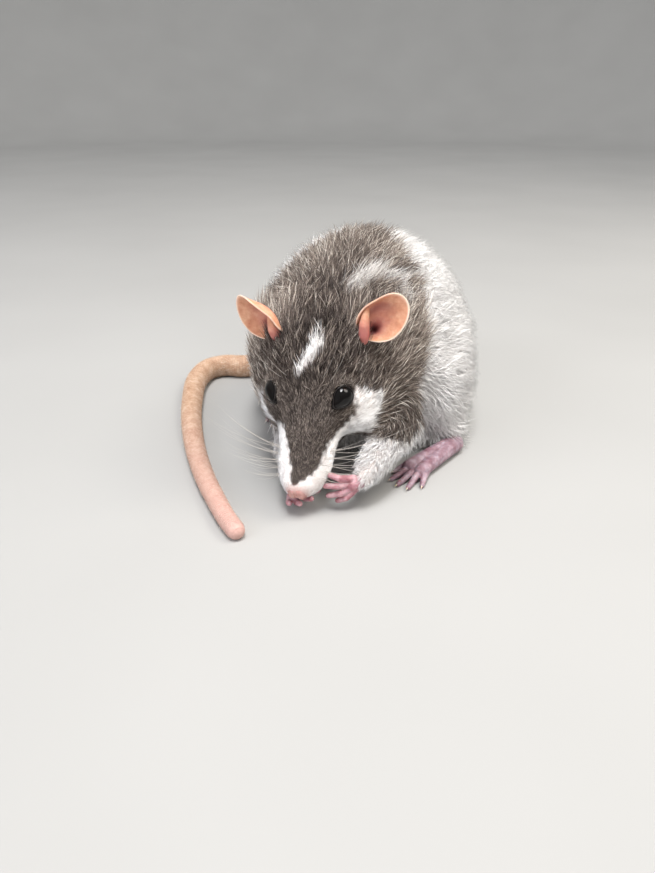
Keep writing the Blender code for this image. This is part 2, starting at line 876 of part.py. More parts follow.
def head_block(grow):
    """A block in the head's frame, its back face behind the ears and its lower face under the jaw."""
    bm = bmesh.new()
    half = HEAD_BLOCK_SIZE / 2
    centre = (0, HEAD_BLOCK_BACK - half + grow, HEAD_BLOCK_BELOW + half - grow)
    bmesh.ops.create_cube(bm, size=HEAD_BLOCK_SIZE, matrix=HEAD @ Matrix.Translation(centre))
    return mesh_object("block", bm)


def thigh_region(side):
    sign = SIDES[side]
    centre = THIGHS[side] + Vector((sign * THIGH_OUT, 0, 0))
    return egg(centre, THIGH_REGION, WORLD, (0, 0, THIGH_TURN * sign))


def split(obj, name, point, normal):
    """Parts an object by a plane. The half on the normal's side gets the name."""
    normal = normal.normalized()
    front = copy_of(obj, name)
    cut_by_plane(front, point + normal * GAP / 2, normal)
    cut_by_plane(obj, point - normal * GAP / 2, -normal)
    keep_largest(front)
    keep_largest(obj)
    return front


def part_whole(whole):
    """Parts the whole into its nodes and returns the head."""
    for side in SIDES:
        arm = take_out(whole, f"upper_arm_{side}", *mass_cutters([arm_mass(side)], ARM_GROW))
        split(arm, f"forearm_{side}", *ELBOW_CUTS[side])
    for side in SIDES:
        take_out(whole, f"thigh_{side}", *mass_cutters([thigh_region(side)], 0))
    head = take_out(whole, "head", head_block(0), head_block(GAP))
    split(whole, "neck", *NECK_CUT)
    whole.name = "torso"
    return head


def add_material(obj, coat):
    colour, roughness = COATS[coat]
    material = bpy.data.materials.new(obj.name)
    material.use_nodes = True
    shader = material.node_tree.nodes["Principled BSDF"]
    shader.inputs["Base Color"].default_value = colour
    shader.inputs["Roughness"].default_value = roughness
    shader.inputs["Metallic"].default_value = 0
    obj.data.materials.clear()
    obj.data.materials.append(material)
    for face in obj.data.polygons:
        face.material_index = 0


def coat_of(name):
    if name.startswith("tail"):
        return "tail"
    if name.startswith("eye"):
        return "eye"
    if name.startswith(("ear", "hand", "hind_foot")):
        return "bare"
    if name in ("head", "neck"):
        return "hood"
    return "white"


def finish():
    """Puts the origin under the middle of the whole box, and turns millimetres into metres."""
    corners = np.concatenate([vertex_array(obj) for obj in bpy.data.objects])
    middle = (corners.min(axis=0) + corners.max(axis=0)) / 2
    centred = Matrix.Scale(MM, 4) @ Matrix.Translation((-middle[0], -middle[1], 0))
    for obj in bpy.data.objects:
        without_slivers(obj)
        obj.data.transform(centred)
        obj.data.name = obj.name
        add_material(obj, coat_of(obj.name))


def build():
    clear_scene()
    whole = whole_skin()
    for side in SIDES:
        foot = make_foot(side)
        socket = grown_copy(foot, "socket")
        combine(whole, socket, "DIFFERENCE")
        discard(socket)
    grown_skin = grown_copy(whole, "grown_skin")
    for side in SIDES:
        make_ear(side, grown_skin)
        make_hand(side, grown_skin)
    make_tail(grown_skin)
    discard(grown_skin)
    head = part_whole(whole)
    for side in SIDES:
        set_eye(head, side)
    cut_mouth(head)
    cut_nostrils(head)
    keep_largest(head)
    finish()


build()
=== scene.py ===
# %% [markdown]
# A pet rat, life size, crouched over its hands.
# The solids give its true outline, one named solid for each part of the animal. This lesson dresses
# them. One skin goes over all the flesh, a coat of small solid tufts stands on that skin, and the
# eyes, ears, nose, hands, feet, tail, claws and whiskers are finer pieces of their own.

# %% Load the solids
import math

import bmesh
import bpy
import numpy as np
from mathutils import Euler, Matrix, Vector
from mathutils.bvhtree import BVHTree
from mathutils.kdtree import KDTree


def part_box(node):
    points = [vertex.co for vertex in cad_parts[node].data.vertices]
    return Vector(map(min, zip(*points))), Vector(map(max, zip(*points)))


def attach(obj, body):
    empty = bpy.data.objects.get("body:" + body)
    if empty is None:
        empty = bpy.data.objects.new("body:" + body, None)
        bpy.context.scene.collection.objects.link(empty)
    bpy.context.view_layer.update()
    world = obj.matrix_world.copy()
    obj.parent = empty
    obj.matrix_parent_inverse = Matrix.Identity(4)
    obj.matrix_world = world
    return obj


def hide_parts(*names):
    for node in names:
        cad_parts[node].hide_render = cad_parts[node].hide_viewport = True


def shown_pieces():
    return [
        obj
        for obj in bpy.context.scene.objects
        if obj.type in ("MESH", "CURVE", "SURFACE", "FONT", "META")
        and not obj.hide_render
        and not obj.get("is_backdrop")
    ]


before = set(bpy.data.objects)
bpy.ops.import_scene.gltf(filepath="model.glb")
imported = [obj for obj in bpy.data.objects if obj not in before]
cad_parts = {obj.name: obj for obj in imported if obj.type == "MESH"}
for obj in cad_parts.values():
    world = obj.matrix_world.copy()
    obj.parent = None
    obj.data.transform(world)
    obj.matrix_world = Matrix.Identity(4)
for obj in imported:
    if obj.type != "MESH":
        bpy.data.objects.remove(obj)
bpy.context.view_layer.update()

MM = 0.001
SIDES = {"left": 1, "right": -1}
RANDOM = np.random.default_rng(41)

# %% [markdown]
# Everything below is written in millimetres in the rat's own frame: it faces -Y, its left side is
# +X and the floor is Z = 0. The two eyeballs tie that frame to the solids, so a piece follows the
# solids wherever they stand. The head has a frame of its own, nose toward -Y, crown toward +Z.

# %% The rat's frame and the head's frame
EYE_MIDDLE = Vector((-2.2, -50.6, 33.3))
HEAD_PITCH = 55
HEAD_TURN = 3.4
HEAD_ROLL = 5


def turned(degrees):
    return Euler([math.radians(angle) for angle in degrees]).to_matrix().to_4x4()


def middle_of(solid):
    low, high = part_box(solid)
    return (low + high) / 2 / MM


SHIFT = (middle_of("eye_left") + middle_of("eye_right")) / 2 - EYE_MIDDLE
TO_FRAME = Matrix.Scale(MM, 4) @ Matrix.Translation(SHIFT)
HEAD = (
    Matrix.Translation(EYE_MIDDLE)
    @ turned((0, 0, HEAD_TURN))
    @ turned((HEAD_PITCH, 0, 0))
    @ turned((0, -HEAD_ROLL, 0))
)
HEAD_AXES = np.array(HEAD.to_3x3())


def in_head(points):
    """Points of the rat's frame, as rows, turned into the head's frame."""
    return (points - np.array(EYE_MIDDLE)) @ HEAD_AXES


def unit(direction):
    return Vector(direction).normalized()


print("shift from the rat's frame in mm:", [round(step, 2) for step in SHIFT])

# %% [markdown]
# A few helpers keep each piece short. They turn a bmesh into an object, grow one closed surface
# over overlapping balls with a voxel remesh, and settle a finished piece: its place goes into its
# mesh, it rides on the animal's one body, and it gets its material.

# %% Helpers for meshes
CHAIN_STEP = 0.3
SPIKE_POINT = 0.12
CURVE_STEPS = 16


def new_object(name, data):
    obj = bpy.data.objects.new(name, data)
    bpy.context.scene.collection.objects.link(obj)
    return obj


def mesh_object(name, bm):
    mesh = bpy.data.meshes.new(name)
    bm.to_mesh(mesh)
    bm.free()
    return new_object(name, mesh)


def join(whole, piece):
    """Adds one bmesh to another and frees it."""
    mesh = bpy.data.meshes.new("joined")
    piece.to_mesh(mesh)
    piece.free()
    whole.from_mesh(mesh)
    bpy.data.meshes.remove(mesh)


def apply_modifiers(obj):
    graph = bpy.context.evaluated_depsgraph_get()
    mesh = bpy.data.meshes.new_from_object(obj.evaluated_get(graph), depsgraph=graph)
    obj.modifiers.clear()
    old = obj.data
    obj.data = mesh
    bpy.data.meshes.remove(old)


def smooth(obj, rounds):
    bm = bmesh.new()
    bm.from_mesh(obj.data)
    for _ in range(rounds):
        bmesh.ops.smooth_vert(
            bm, verts=bm.verts, factor=0.5, use_axis_x=True, use_axis_y=True, use_axis_z=True
        )
    bm.to_mesh(obj.data)
    bm.free()


def melted(name, bm, voxel, rounds):
    """One closed and smoothed surface over shapes that overlap."""
    obj = mesh_object(name, bm)
    modifier = obj.modifiers.new("Remesh", "REMESH")
    modifier.mode = "VOXEL"
    modifier.voxel_size = voxel
    apply_modifiers(obj)
    smooth(obj, rounds)
    return obj


def rows_of(obj, what):
    rows = np.empty(len(obj.data.vertices) * 3)
    obj.data.vertices.foreach_get(what, rows)
    return rows.reshape(-1, 3)


def points_of(obj):
    return rows_of(obj, "co")


def normals_of(obj):
    return rows_of(obj, "normal")


def move_points(obj, points):
    obj.data.vertices.foreach_set("co", np.ascontiguousarray(points).ravel())
    obj.data.update()


def unit_rows(rows):
    return rows / np.linalg.norm(rows, axis=1)[:, None]


def keep_above(points, height):
    """Lifts those rows of points that lie under a height, and gives all of them back."""
    points[:, 2] = np.maximum(points[:, 2], height)
    return points


def add_chain(bm, joints, radii):
    """Overlapping balls along a bent line, whose radii run from joint to joint."""
    for start, end, thick, thin in zip(joints, joints[1:], radii, radii[1:]):
        steps = max(2, math.ceil((end - start).length / (CHAIN_STEP * min(thick, thin))))
        for step in range(steps + 1):
            part = step / steps
            place = Matrix.Translation(start.lerp(end, part))
            bmesh.ops.create_icosphere(
                bm, subdivisions=2, radius=thick + part * (thin - thick), matrix=place
            )


def add_spike(bm, root, ahead, bow, length, radius, sides, cuts):
    """A claw or a long hair: a thin cone, cut across and bent the way of bow."""
    spike = bmesh.new()
    bmesh.ops.create_cone(
        spike, cap_ends=True, segments=sides, radius1=radius, radius2=SPIKE_POINT * radius,
        depth=length, matrix=Matrix.Translation((0, 0, 0.5 * length)),
    )
    steep = [edge for edge in spike.edges if edge.calc_length() > 0.8 * length]
    bmesh.ops.subdivide_edges(spike, edges=steep, cuts=cuts)
    turn = Vector((0, 0, 1)).rotation_difference(ahead).to_matrix()
    for vert in spike.verts:
        part = vert.co.z / length
        vert.co = root + turn @ vert.co + bow * length * part**2
    join(bm, spike)


def smooth_route(points, count):
    """Points evenly along a Catmull-Rom curve through the given ones, and its length."""
    ends = [points[0] * 2 - points[1], *points, points[-1] * 2 - points[-2]]
    fine = []
    for before, start, end, after in zip(ends, ends[1:], ends[2:], ends[3:]):
        for step in range(CURVE_STEPS):
            t = step / CURVE_STEPS
            fine.append(0.5 * (
                2 * start + (end - before) * t + (2 * before - 5 * start + 4 * end - after) * t**2
                + (3 * start - before - 3 * end + after) * t**3
            ))
    fine = np.array([*fine, points[-1]])
    lengths = np.concatenate([[0], np.cumsum(np.linalg.norm(np.diff(fine, axis=0), axis=1))])
    wanted = np.linspace(0, lengths[-1], count)
    route = np.stack([np.interp(wanted, lengths, fine[:, axis]) for axis in range(3)], axis=1)
    return route, lengths[-1]


def settle(obj, material, slot, *solids):
    """Puts a finished piece, made in millimetres, into the frame."""
    obj.data.transform(TO_FRAME)
    obj.data.materials.clear()
    obj.data.materials.append(material)
    obj.data.shade_smooth()
    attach(obj, "root")
    if solids:
        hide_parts(*solids)
    print(f"{obj.name}: {len(obj.data.polygons)} faces")


# %% [markdown]
# Materials are built from nodes. Colours are written as sRGB hex values and turned linear by one
# function, and one function adds any node with its settings and its links.

# %% Helpers for materials
def linear(code):
    channels = [int(code[start:start + 2], 16) / 255 for start in (1, 3, 5)]
    return (*(c / 12.92 if c <= 0.04045 else ((c + 0.055) / 1.055) ** 2.4 for c in channels), 1.0)


def add_node(tree, kind, inputs=None, stops=None, **settings):
    """Adds a node. An input is a value, or another node's output to link; stops are a ramp's."""
    new = tree.nodes.new(kind)
    for name, value in settings.items():
        setattr(new, name, value)
    for name, value in (inputs or {}).items():
        if isinstance(value, bpy.types.NodeSocket):
            tree.links.new(value, new.inputs[name])
        else:
            new.inputs[name].default_value = value
    if stops:
        ramp = new.color_ramp.elements
        while len(ramp) < len(stops):
            ramp.new(0.5)
        for element, (place, code) in zip(ramp, stops):
            element.position = place
            element.color = linear(code)
    return new


def new_material(name, **values):
    """A Principled material, with its uniform values set on the shader's own sockets."""
    material = bpy.data.materials.new(name)
    material.use_nodes = True
    shader = material.node_tree.nodes["Principled BSDF"]
    for socket, value in values.items():
        shader.inputs[socket.replace("_", " ")].default_value = value
    return material, material.node_tree, shader


def blotched(tree, size, stops, **more):
    """A colour that wavers between the stops, in blotches about size across."""
    place = add_node(tree, "ShaderNodeTexCoord")
    noise = add_node(
        tree, "ShaderNodeTexNoise", {"Vector": place.outputs["Object"], "Scale": 1 / size, **more}
    )
    return add_node(tree, "ShaderNodeValToRGB", {"Fac": noise.outputs["Fac"]}, stops=stops).outputs[0]


def finish_shader(tree, shader, colour, height=None, depth=0, strength=1, **settings):
    """Links the surface's colour and, where a height is given, a relief of that depth."""
    tree.links.new(colour, shader.inputs["Base Color"])
    if height is not None:
        bump = add_node(
            tree, "ShaderNodeBump", {"Height": height, "Distance": depth, "Strength": strength},
            **settings,
        )
        tree.links.new(bump.outputs[0], shader.inputs["Normal"])


# Where a Mix node keeps its two colours and their mixture
MIX_A = 6
MIX_B = 7
MIX_RESULT = 2

# %% [markdown]
# The skin is one closed surface over all the flesh, so that no seam of the solids shows. Copies of
# the flesh solids are swelled by a little more than half their gap, so that they overlap, and a
# voxel remesh melts them into one. The short muscular root of each ear is a ball melted in with
# them. Smoothing then takes away the facets.

# %% One surface over the flesh
LIMBS = ("upper_arm", "forearm", "thigh")
FLESH = ("head", "neck", "torso", *(f"{limb}_{side}" for limb in LIMBS for side in SIDES))
SEAM_SWELL = 0.25
SKIN_VOXEL = 0.8
SKIN_SMOOTHING = 10

EAR_ROOTS = {"left": (12.3, 16.4, 3.0), "right": (-8.2, 13.6, 4.4)}
EAR_AXES = {"left": (0.74, 0.60, 0.32), "right": (-0.66, 0.56, 0.46)}
EAR_OPENING = Vector((0.30, -0.26, 0.92))
EAR_STUB = Vector((0, 4.2, -7.9))
EAR_STUB_RADIUS = 4.0


def ear_place(side):
    """The ear's frame: X across it, Y from root to tip, Z out of its mouth."""
    length = unit(EAR_AXES[side])
    opening = Vector((SIDES[side] * EAR_OPENING.x, EAR_OPENING.y, EAR_OPENING.z))
    opening = (opening - length * length.dot(opening)).normalized()
    turn = Matrix((length.cross(opening), length, opening)).transposed().to_4x4()
    return HEAD @ Matrix.Translation(EAR_ROOTS[side]) @ turn


def solid_copy(name):
    """A merged copy of a solid, in millimetres in the rat's frame."""
    bm = bmesh.new()
    bm.from_mesh(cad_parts[name].data)
    bmesh.ops.transform(bm, matrix=TO_FRAME.inverted(), verts=bm.verts)
    bmesh.ops.remove_doubles(bm, verts=bm.verts, dist=1e-3)
    bm.normal_update()
    return bm


def flesh_surface():
    whole = bmesh.new()
    for name in FLESH:
        piece = solid_copy(name)
        for vert in piece.verts:
            vert.co += vert.normal * SEAM_SWELL
        join(whole, piece)
    for side in SIDES:
        root = ear_place(side) @ Matrix.Translation(EAR_STUB)
        bmesh.ops.create_icosphere(whole, subdivisions=3, radius=EAR_STUB_RADIUS, matrix=root)
    return melted("skin", whole, SKIN_VOXEL, SKIN_SMOOTHING)


skin = flesh_surface()
print("skin:", len(skin.data.polygons), "faces")

# %% [markdown]
# The coat differs from part to part: under a millimetre on the snout, three on the head, eight on
# the back. So each point of the skin first learns which part of the animal it is on. The nearest
# solid tells that, and averaging over neighbours makes the change from part to part a soft one.

# %% Which part of the animal each point is on
BLEND_ROUNDS = 14


def nearest_solid(points):
    """For each point, the place in FLESH of the solid that lies nearest."""
    corners = []
    faces = []
    owner = []
    for order, name in enumerate(FLESH):
        bm = solid_copy(name)
        bmesh.ops.triangulate(bm, faces=bm.faces)
        first = len(corners)
        corners += [vert.co.copy() for vert in bm.verts]
        faces += [[first + vert.index for vert in face.verts] for face in bm.faces]
        owner += [order] * len(bm.faces)
        bm.free()
    tree = BVHTree.FromPolygons(corners, faces)
    return np.array([owner[tree.find_nearest(Vector(point))[2]] for point in points])


def edges_of(obj):
    edges = np.empty(len(obj.data.edges) * 2, int)
    obj.data.edges.foreach_get("vertices", edges)
    return edges.reshape(-1, 2)


def averaged(values, edges, rounds):
    """Each point's values, as columns, averaged with its neighbours' again and again."""
    count = len(values)
    ends = np.concatenate([edges[:, 0], edges[:, 1]])
    others = np.concatenate([edges[:, 1], edges[:, 0]])
    degree = np.bincount(ends, minlength=count)[:, None] + 1
    for _ in range(rounds):
        sums = [np.bincount(ends, values[others, column], count) for column in range(values.shape[1])]
        values = (values + np.stack(sums, axis=1)) / degree
    return values


skin_points = points_of(skin)
skin_edges = edges_of(skin)
part_of = nearest_solid(skin_points)
share = averaged(np.eye(len(FLESH))[part_of], skin_edges, BLEND_ROUNDS)
PART = {name: share[:, order] for order, name in enumerate(FLESH)}
print("points on each part:", {name: int((part_of == order).sum()) for order, name in enumerate(FLESH)})

# %% [markdown]
# Three fields over the skin describe the coat: how long the hair is, how deep the skin lies under
# the coat's outside, and which way the hair lies. On the head the hair runs from the nose back. On
# the trunk it runs back and down, and on an arm it runs to the hand. Length and depth shrink round
# the eyes, at the nose and at the wrists. Hair is longer round the ears' roots and under the jaw.
# The wrists are slimmed a little and the whisker pads swelled.

# %% Length, depth and lie of the coat
FACE_STATIONS = (-28, -20, -8, 0, 10, 25)
FACE_LENGTH = (0.9, 1.3, 2.0, 2.8, 3.9, 5.5)
FACE_DEPTH = (0.1, 0.3, 0.55, 0.9, 1.7, 2.8)
BODY_LENGTH = {"neck": 6.5, "torso": 8.0, "upper_arm": 5.5, "forearm": 3.6, "thigh": 7.0}
BODY_DEPTH = {"neck": 3.8, "torso": 4.8, "upper_arm": 2.4, "forearm": 1.1, "thigh": 3.6}
NOSE_POINT = Vector((0, -31, -4))
NOSE_PAD = Vector((0, -28.2, -2.4))
EYE_SIDE = 9.9
EYE_RADIUS = 3.4
ARMS = {
    "left": ((14, -24, 30), (21.5, -33, 19), (15.6, -54.5, 9.6)),
    "right": ((-16, -26, 29), (-11.5, -37, 12.5), (-5.6, -55.0, 4.8)),
}
BODY_FLOW = Vector((0, 1.0, -0.30))
THIGH_FLOW = Vector((0, 0.75, -0.65))
FACE_FLOW_REACH = 20
SIDE_FLOW_REACH = 60
FLOOR_ZONE = 7.0
WRIST_SLIM = 0.9
WHISKER_PAD = Vector((3.4, -25.0, -6.6))
PAD_RISE = 1.0
PAD_REACH = 2.4
EAR_BASE = Vector((0, 1.5, -2))
EAR_FRINGE = 2.2
JAW_FRINGE = 2.0
EAR_FRINGE_ZONE = (4.5, 9)
JAW_BEHIND = (-16, -8)
JAW_BELOW = (5, 10)
LEAST_LENGTH = 0.35
FLAT_UNDERNEATH = 0.85

# Where the coat grows in round what is bare, in mm from its middle, and what is left of it there
NOSE_ZONE = (2.2, 5)
EYE_ZONE = (3.9, 8.0)
WRIST_ZONE = (2.5, 9)
LEFT_AT_EYE = 0.2
LEFT_AT_WRIST = 0.3
PINK_ZONE = (2, 4.5)


def rise(values, low, high):
    """A smooth step from 0 at low to 1 at high."""
    part = np.clip((values - low) / (high - low), 0, 1)
    return part * part * (3 - 2 * part)


def step_up(value, low, high):
    return float(rise(np.array(value), low, high))


def from_point(points, place):
    return np.linalg.norm(points - np.array(place), axis=1)


def head_point(*place):
    return HEAD @ Vector(place)


def body_sum(table):
    """The share-weighted sum of the body's values, without the head."""
    total = table["neck"] * PART["neck"] + table["torso"] * PART["torso"]
    for side in SIDES:
        for limb in LIMBS:
            total = total + table[limb] * PART[f"{limb}_{side}"]
    return total


def to_bare(points):
    """0 where bare skin begins at the nose, small at eyes and wrists, and 1 farther away."""
    near = rise(from_point(points, HEAD @ NOSE_PAD), *NOSE_ZONE)
    for side, sign in SIDES.items():
        from_eye = rise(from_point(points, head_point(sign * EYE_SIDE, 0, 0)), *EYE_ZONE)
        from_wrist = rise(from_point(points, ARMS[side][2]), *WRIST_ZONE)
        near = near * (LEFT_AT_EYE + (1 - LEFT_AT_EYE) * from_eye)
        near = near * (LEFT_AT_WRIST + (1 - LEFT_AT_WRIST) * from_wrist)
    return near


def pink_share(points):
    """1 where the skin is bare and pink, round the nose, and 0 under the coat."""
    return 1 - rise(from_point(points, HEAD @ NOSE_PAD), *PINK_ZONE)


def flow(points):
    """The way that the hair runs, before it is laid on the skin."""
    total = (points - np.array(HEAD @ NOSE_POINT)) * PART["head"][:, None] / FACE_FLOW_REACH
    outward = points * (1 / SIDE_FLOW_REACH, 0, 0)
    trunk = (PART["neck"] + PART["torso"])[:, None]
    total = total + trunk * (np.array(BODY_FLOW) + outward)
    for side in SIDES:
        shoulder, elbow, wrist = (Vector(point) for point in ARMS[side])
        total = total + PART[f"upper_arm_{side}"][:, None] * np.array(unit(elbow - shoulder))
        total = total + PART[f"forearm_{side}"][:, None] * np.array(unit(wrist - elbow))
        total = total + PART[f"thigh_{side}"][:, None] * np.array(THIGH_FLOW)
    return total


def laid(directions, normals):
    """The directions turned flat onto the skin and made one long."""
    flat = directions - (directions * normals).sum(axis=1)[:, None] * normals
    return flat / np.maximum(np.linalg.norm(flat, axis=1), 1e-6)[:, None]


skin_normals = normals_of(skin)
along_face = in_head(skin_points)[:, 1]
bareness = to_bare(skin_points)
on_head = PART["head"]
hair_length = on_head * np.interp(along_face, FACE_STATIONS, FACE_LENGTH) + body_sum(BODY_LENGTH)
hair_length = hair_length * (LEAST_LENGTH + (1 - LEAST_LENGTH) * bareness)
ear_near = np.max([
    1 - rise(from_point(skin_points, ear_place(side) @ EAR_BASE), *EAR_FRINGE_ZONE) for side in SIDES
], axis=0)
hair_length = hair_length + EAR_FRINGE * ear_near
jaw = on_head * rise(along_face, *JAW_BEHIND) * rise(-in_head(skin_points)[:, 2], *JAW_BELOW)
hair_length = hair_length + JAW_FRINGE * jaw
coat_depth = on_head * np.interp(along_face, FACE_STATIONS, FACE_DEPTH) + body_sum(BODY_DEPTH)
underneath = rise(-skin_normals[:, 2], 0.2, 0.7) * (1 - rise(skin_points[:, 2], 2, FLOOR_ZONE))
coat_depth = coat_depth * bareness * (1 - FLAT_UNDERNEATH * underneath)
coat_depth = averaged(coat_depth[:, None], skin_edges, 6)[:, 0]
for side, sign in SIDES.items():
    coat_depth += WRIST_SLIM * (1 - rise(from_point(skin_points, ARMS[side][2]), 1, 8))
    pad_place = head_point(sign * WHISKER_PAD.x, WHISKER_PAD.y, WHISKER_PAD.z)
    coat_depth -= PAD_RISE * np.exp(-((from_point(skin_points, pad_place) / PAD_REACH) ** 2))
lie = laid(averaged(flow(skin_points), skin_edges, 10), skin_normals)
print("hair from", round(hair_length.min(), 2), "to", round(hair_length.max(), 2), "mm long")

# %% The skin sinks under the coat
move_points(skin, skin_points - skin_normals * coat_depth[:, None])
smooth(skin, 2)

# %% [markdown]
# The lids are skin drawn over the eyeball up to an opening like a drop, pointed at its inner
# corner. Skin points outside the opening are lifted onto the ball, and those inside it sink into
# the ball, where they don't show. Each eye has a frame of its own: Z looks out of the head.

# %% Lids
EYE_OUT = (0.62, -0.17, 0.77)
LID_SLIT = (-0.52, -0.80, 0.20)
LID_OPEN = 2.9
LID_CORNER = 1.45
CORNER_RISE = 0.9
CORNER_WIDTH = 0.46
LID_EDGE = 0.3
LID_ZONE = 2.5
LID_GAP = 0.1
LID_SLOPE = 0.3
OVER_BALL = 0.2
UNDER_BALL = 0.5


def eye_place(side):
    """The eye's frame: Z looks out of the head, and X runs along the slit toward the nose."""
    sign = SIDES[side]
    out = unit((sign * EYE_OUT[0], *EYE_OUT[1:]))
    slit = Vector((sign * LID_SLIT[0], *LID_SLIT[1:]))
    along = unit(slit - out * out.dot(slit))
    turn = Matrix((along, out.cross(along), out)).transposed().to_4x4()
    return HEAD @ Matrix.Translation((sign * EYE_SIDE, 0, 0)) @ turn


def corner_pull(angle):
    """How much the opening is drawn out at an angle from the inner corner."""
    from_corner = np.arctan2(np.sin(angle), np.cos(angle))
    return LID_CORNER / LID_OPEN * np.exp(-np.abs(from_corner / CORNER_WIDTH) ** 1.5)


def rim_reach(angle):
    return LID_OPEN * (1 + corner_pull(angle))


def rim_height(angle):
    return math.sqrt((EYE_RADIUS + LID_GAP) ** 2 - LID_OPEN**2) + CORNER_RISE * corner_pull(angle)


def with_lids(points):
    for side in SIDES:
        place = eye_place(side)
        axes = np.array(place.to_3x3())
        local = (points - np.array(place.translation)) @ axes
        angle = np.arctan2(local[:, 1], local[:, 0])
        over = np.linalg.norm(local[:, :2], axis=1) - rim_reach(angle)
        far = np.linalg.norm(local, axis=1)
        rim_far = np.hypot(rim_reach(angle), rim_height(angle))
        lifted = np.maximum(far, rim_far + OVER_BALL - LID_SLOPE * over)
        sunk = np.minimum(far, EYE_RADIUS - UNDER_BALL)
        wanted = np.where(over > LID_EDGE, lifted, np.where(over < 0, sunk, far))
        wanted = np.where((over < LID_ZONE) & (local[:, 2] > 0), wanted, far)
        points = points + (local / far[:, None]) @ axes.T * (wanted - far)[:, None]
    return points


skin_points = keep_above(with_lids(points_of(skin)), 0)
move_points(skin, skin_points)
skin_normals = normals_of(skin)
lie = laid(lie, skin_normals)

# %% [markdown]
# The coat is that of a hooded rat: a grey-brown hood over head, neck and shoulders with a stripe
# down the spine, and white behind and below it. The face has a white blaze between the eyes, a
# white patch below each eye and white sides to the snout, and a cream band crosses the nape. The
# dark coat is darkest between the eyes and tanner behind and beside them. The right side of the
# face is also painted lighter, as light falling on it. Two functions work out the marking of any
# point from its place, and both the skin and the tufts read them, so they agree.

# %% Markings
HOOD_HEIGHTS = (19, 27, 35, 42.5, 51, 58.5, 62.4, 65.3, 70)
HOOD_REAR = (-21.5, -21.5, -20.3, -17.7, -13.7, -7.3, -1.6, 6.8, 16)
THROAT_FRONT = -13.5
THROAT_HEIGHT = -15.2
THROAT_SLOPE = -0.82
SPINE_STRIPE = 6.5
LEAST_PALE = -0.6
SNOUT_STATIONS = (-27, -26, -25, -23, -20, -14, -10, -6)
SNOUT_RIGHT = (-0.6, -0.9, -1.2, -1.6, -2.1, -4.3, -5.8, -9.5)
SNOUT_LEFT = (0.2, 1.0, 2.6, 4.6, 6.0, 7.7, 9.5, 13)
BLAZE = (
    ((3.9, 17.5, 7.3), 0.9), ((2.6, 13.0, 7.4), 2.0), ((0.4, 8.5, 7.2), 1.7), ((-1.8, 4.2, 6.5), 0.8),
)
CHEEK = (
    ((14.2, 1.2, -2.6), 2.2), ((16.6, -0.8, -7.0), 4.4), ((14.6, -5.2, -9.0), 4.6),
    ((10.6, -9.6, -7.4), 3.2), ((8.8, -15.5, -5.2), 2.6),
)
NECK_BAND = (
    ((4.7, -29.3, 60.3), 1.2), ((6.5, -22, 61.9), 1.7), ((9.2, -17.6, 62.6), 2.0),
    ((13.1, -15.7, 61.5), 2.0), ((16.1, -14.8, 60), 1.6), ((19.6, -18.4, 55.6), 1.2),
)
SPINE_PLACE = -2
BAND_SHARE = 0.6
STRIPE_BEHIND = (-10, 0)
STRIPE_ABOVE = (22, 30)
SNOUT_END = (-10.5, -8.5)
NOSE_END = (-27.3, -26.5)

# Half of the width over which one colour turns into another, in mm
HOOD_SOFT = 1.2
THROAT_SOFT = 0.8
STRIPE_SOFT = 1
BLAZE_SOFT = (-0.3, 0.35)
CHEEK_SOFT = 0.9
SNOUT_RIGHT_SOFT = 0.4
SNOUT_LEFT_SOFT = 0.5

# How much tanner the dark coat gets, and the stretch in mm over which that comes
DARKEST = -0.25
NAPE_TAN = (0.5, 8, 34)
THROAT_TAN = (0.45, 2, 11)
BACK_HEIGHTS = (48, 58)
RIGHT_BACK_TAN = (0.35, -4, 16)
LEFT_BACK_TAN = (-0.35, 2, 10)
SIDE_TAN = (0.50, 6, 13)
# Painted light: the rat's right side of the face is made lighter where light falls on it
RIGHT_FACE_PAINTED_LIGHT = (0.25, 5, 12)
SNOUT_DARK = (0.4, -16, -6)
EYE_RING_TAN = (0.3, 4.5, 8)
BAND_TAN = 0.8


def wobble(points, size, seed=0):
    """A smooth wavering between about -1 and 1, whose waves are about size long."""
    turns = np.random.default_rng(seed).normal(size=(5, 3))
    waves = points @ unit_rows(turns).T * (2 * math.pi / size)
    return np.sin(waves + np.arange(5) * 1.7).sum(axis=1) / 2.2


def from_stroke(points, stroke):
    """How far each point is outside a stroke, a line whose half width changes on the way."""
    best = np.full(len(points), np.inf)
    for (start, wide), (end, narrow) in zip(stroke, stroke[1:]):
        start = np.array(start, float)
        way = np.array(end, float) - start
        part = np.clip((points - start) @ way / (way @ way), 0, 1)
        gap = np.linalg.norm(points - start - part[:, None] * way, axis=1)
        best = np.minimum(best, gap - (wide + part * (narrow - wide)))
    return best


def neck_band(points):
    """1 in the cream band behind the head, between the ears, and 0 outside it."""
    return 1 - rise(from_stroke(points, NECK_BAND) + 1.2 * wobble(points, 3, 5), -0.5, 2.5)


def soft_step(values, edge, half):
    """0 below the edge and 1 above it, changing over half a width on each side."""
    return rise(values, edge - half, edge + half)


def hood_and_stripe(points, head):
    edge = 0.9 * wobble(points, 7, 1) + 0.5 * wobble(points, 2.5, 2)
    rear = np.interp(points[:, 2], HOOD_HEIGHTS, HOOD_REAR) + 1.4 * edge
    throat = THROAT_HEIGHT + THROAT_SLOPE * (head[:, 1] - THROAT_FRONT) + edge
    hood = 1 - soft_step(points[:, 1], rear, HOOD_SOFT)
    hood = hood * soft_step(head[:, 2], throat, THROAT_SOFT)
    from_spine = np.abs(points[:, 0] - SPINE_PLACE) + 2.5 * edge
    stripe = 1 - soft_step(from_spine, SPINE_STRIPE, STRIPE_SOFT)
    stripe = stripe * rise(points[:, 1], *STRIPE_BEHIND) * rise(points[:, 2], *STRIPE_ABOVE)
    return np.maximum(hood, stripe)


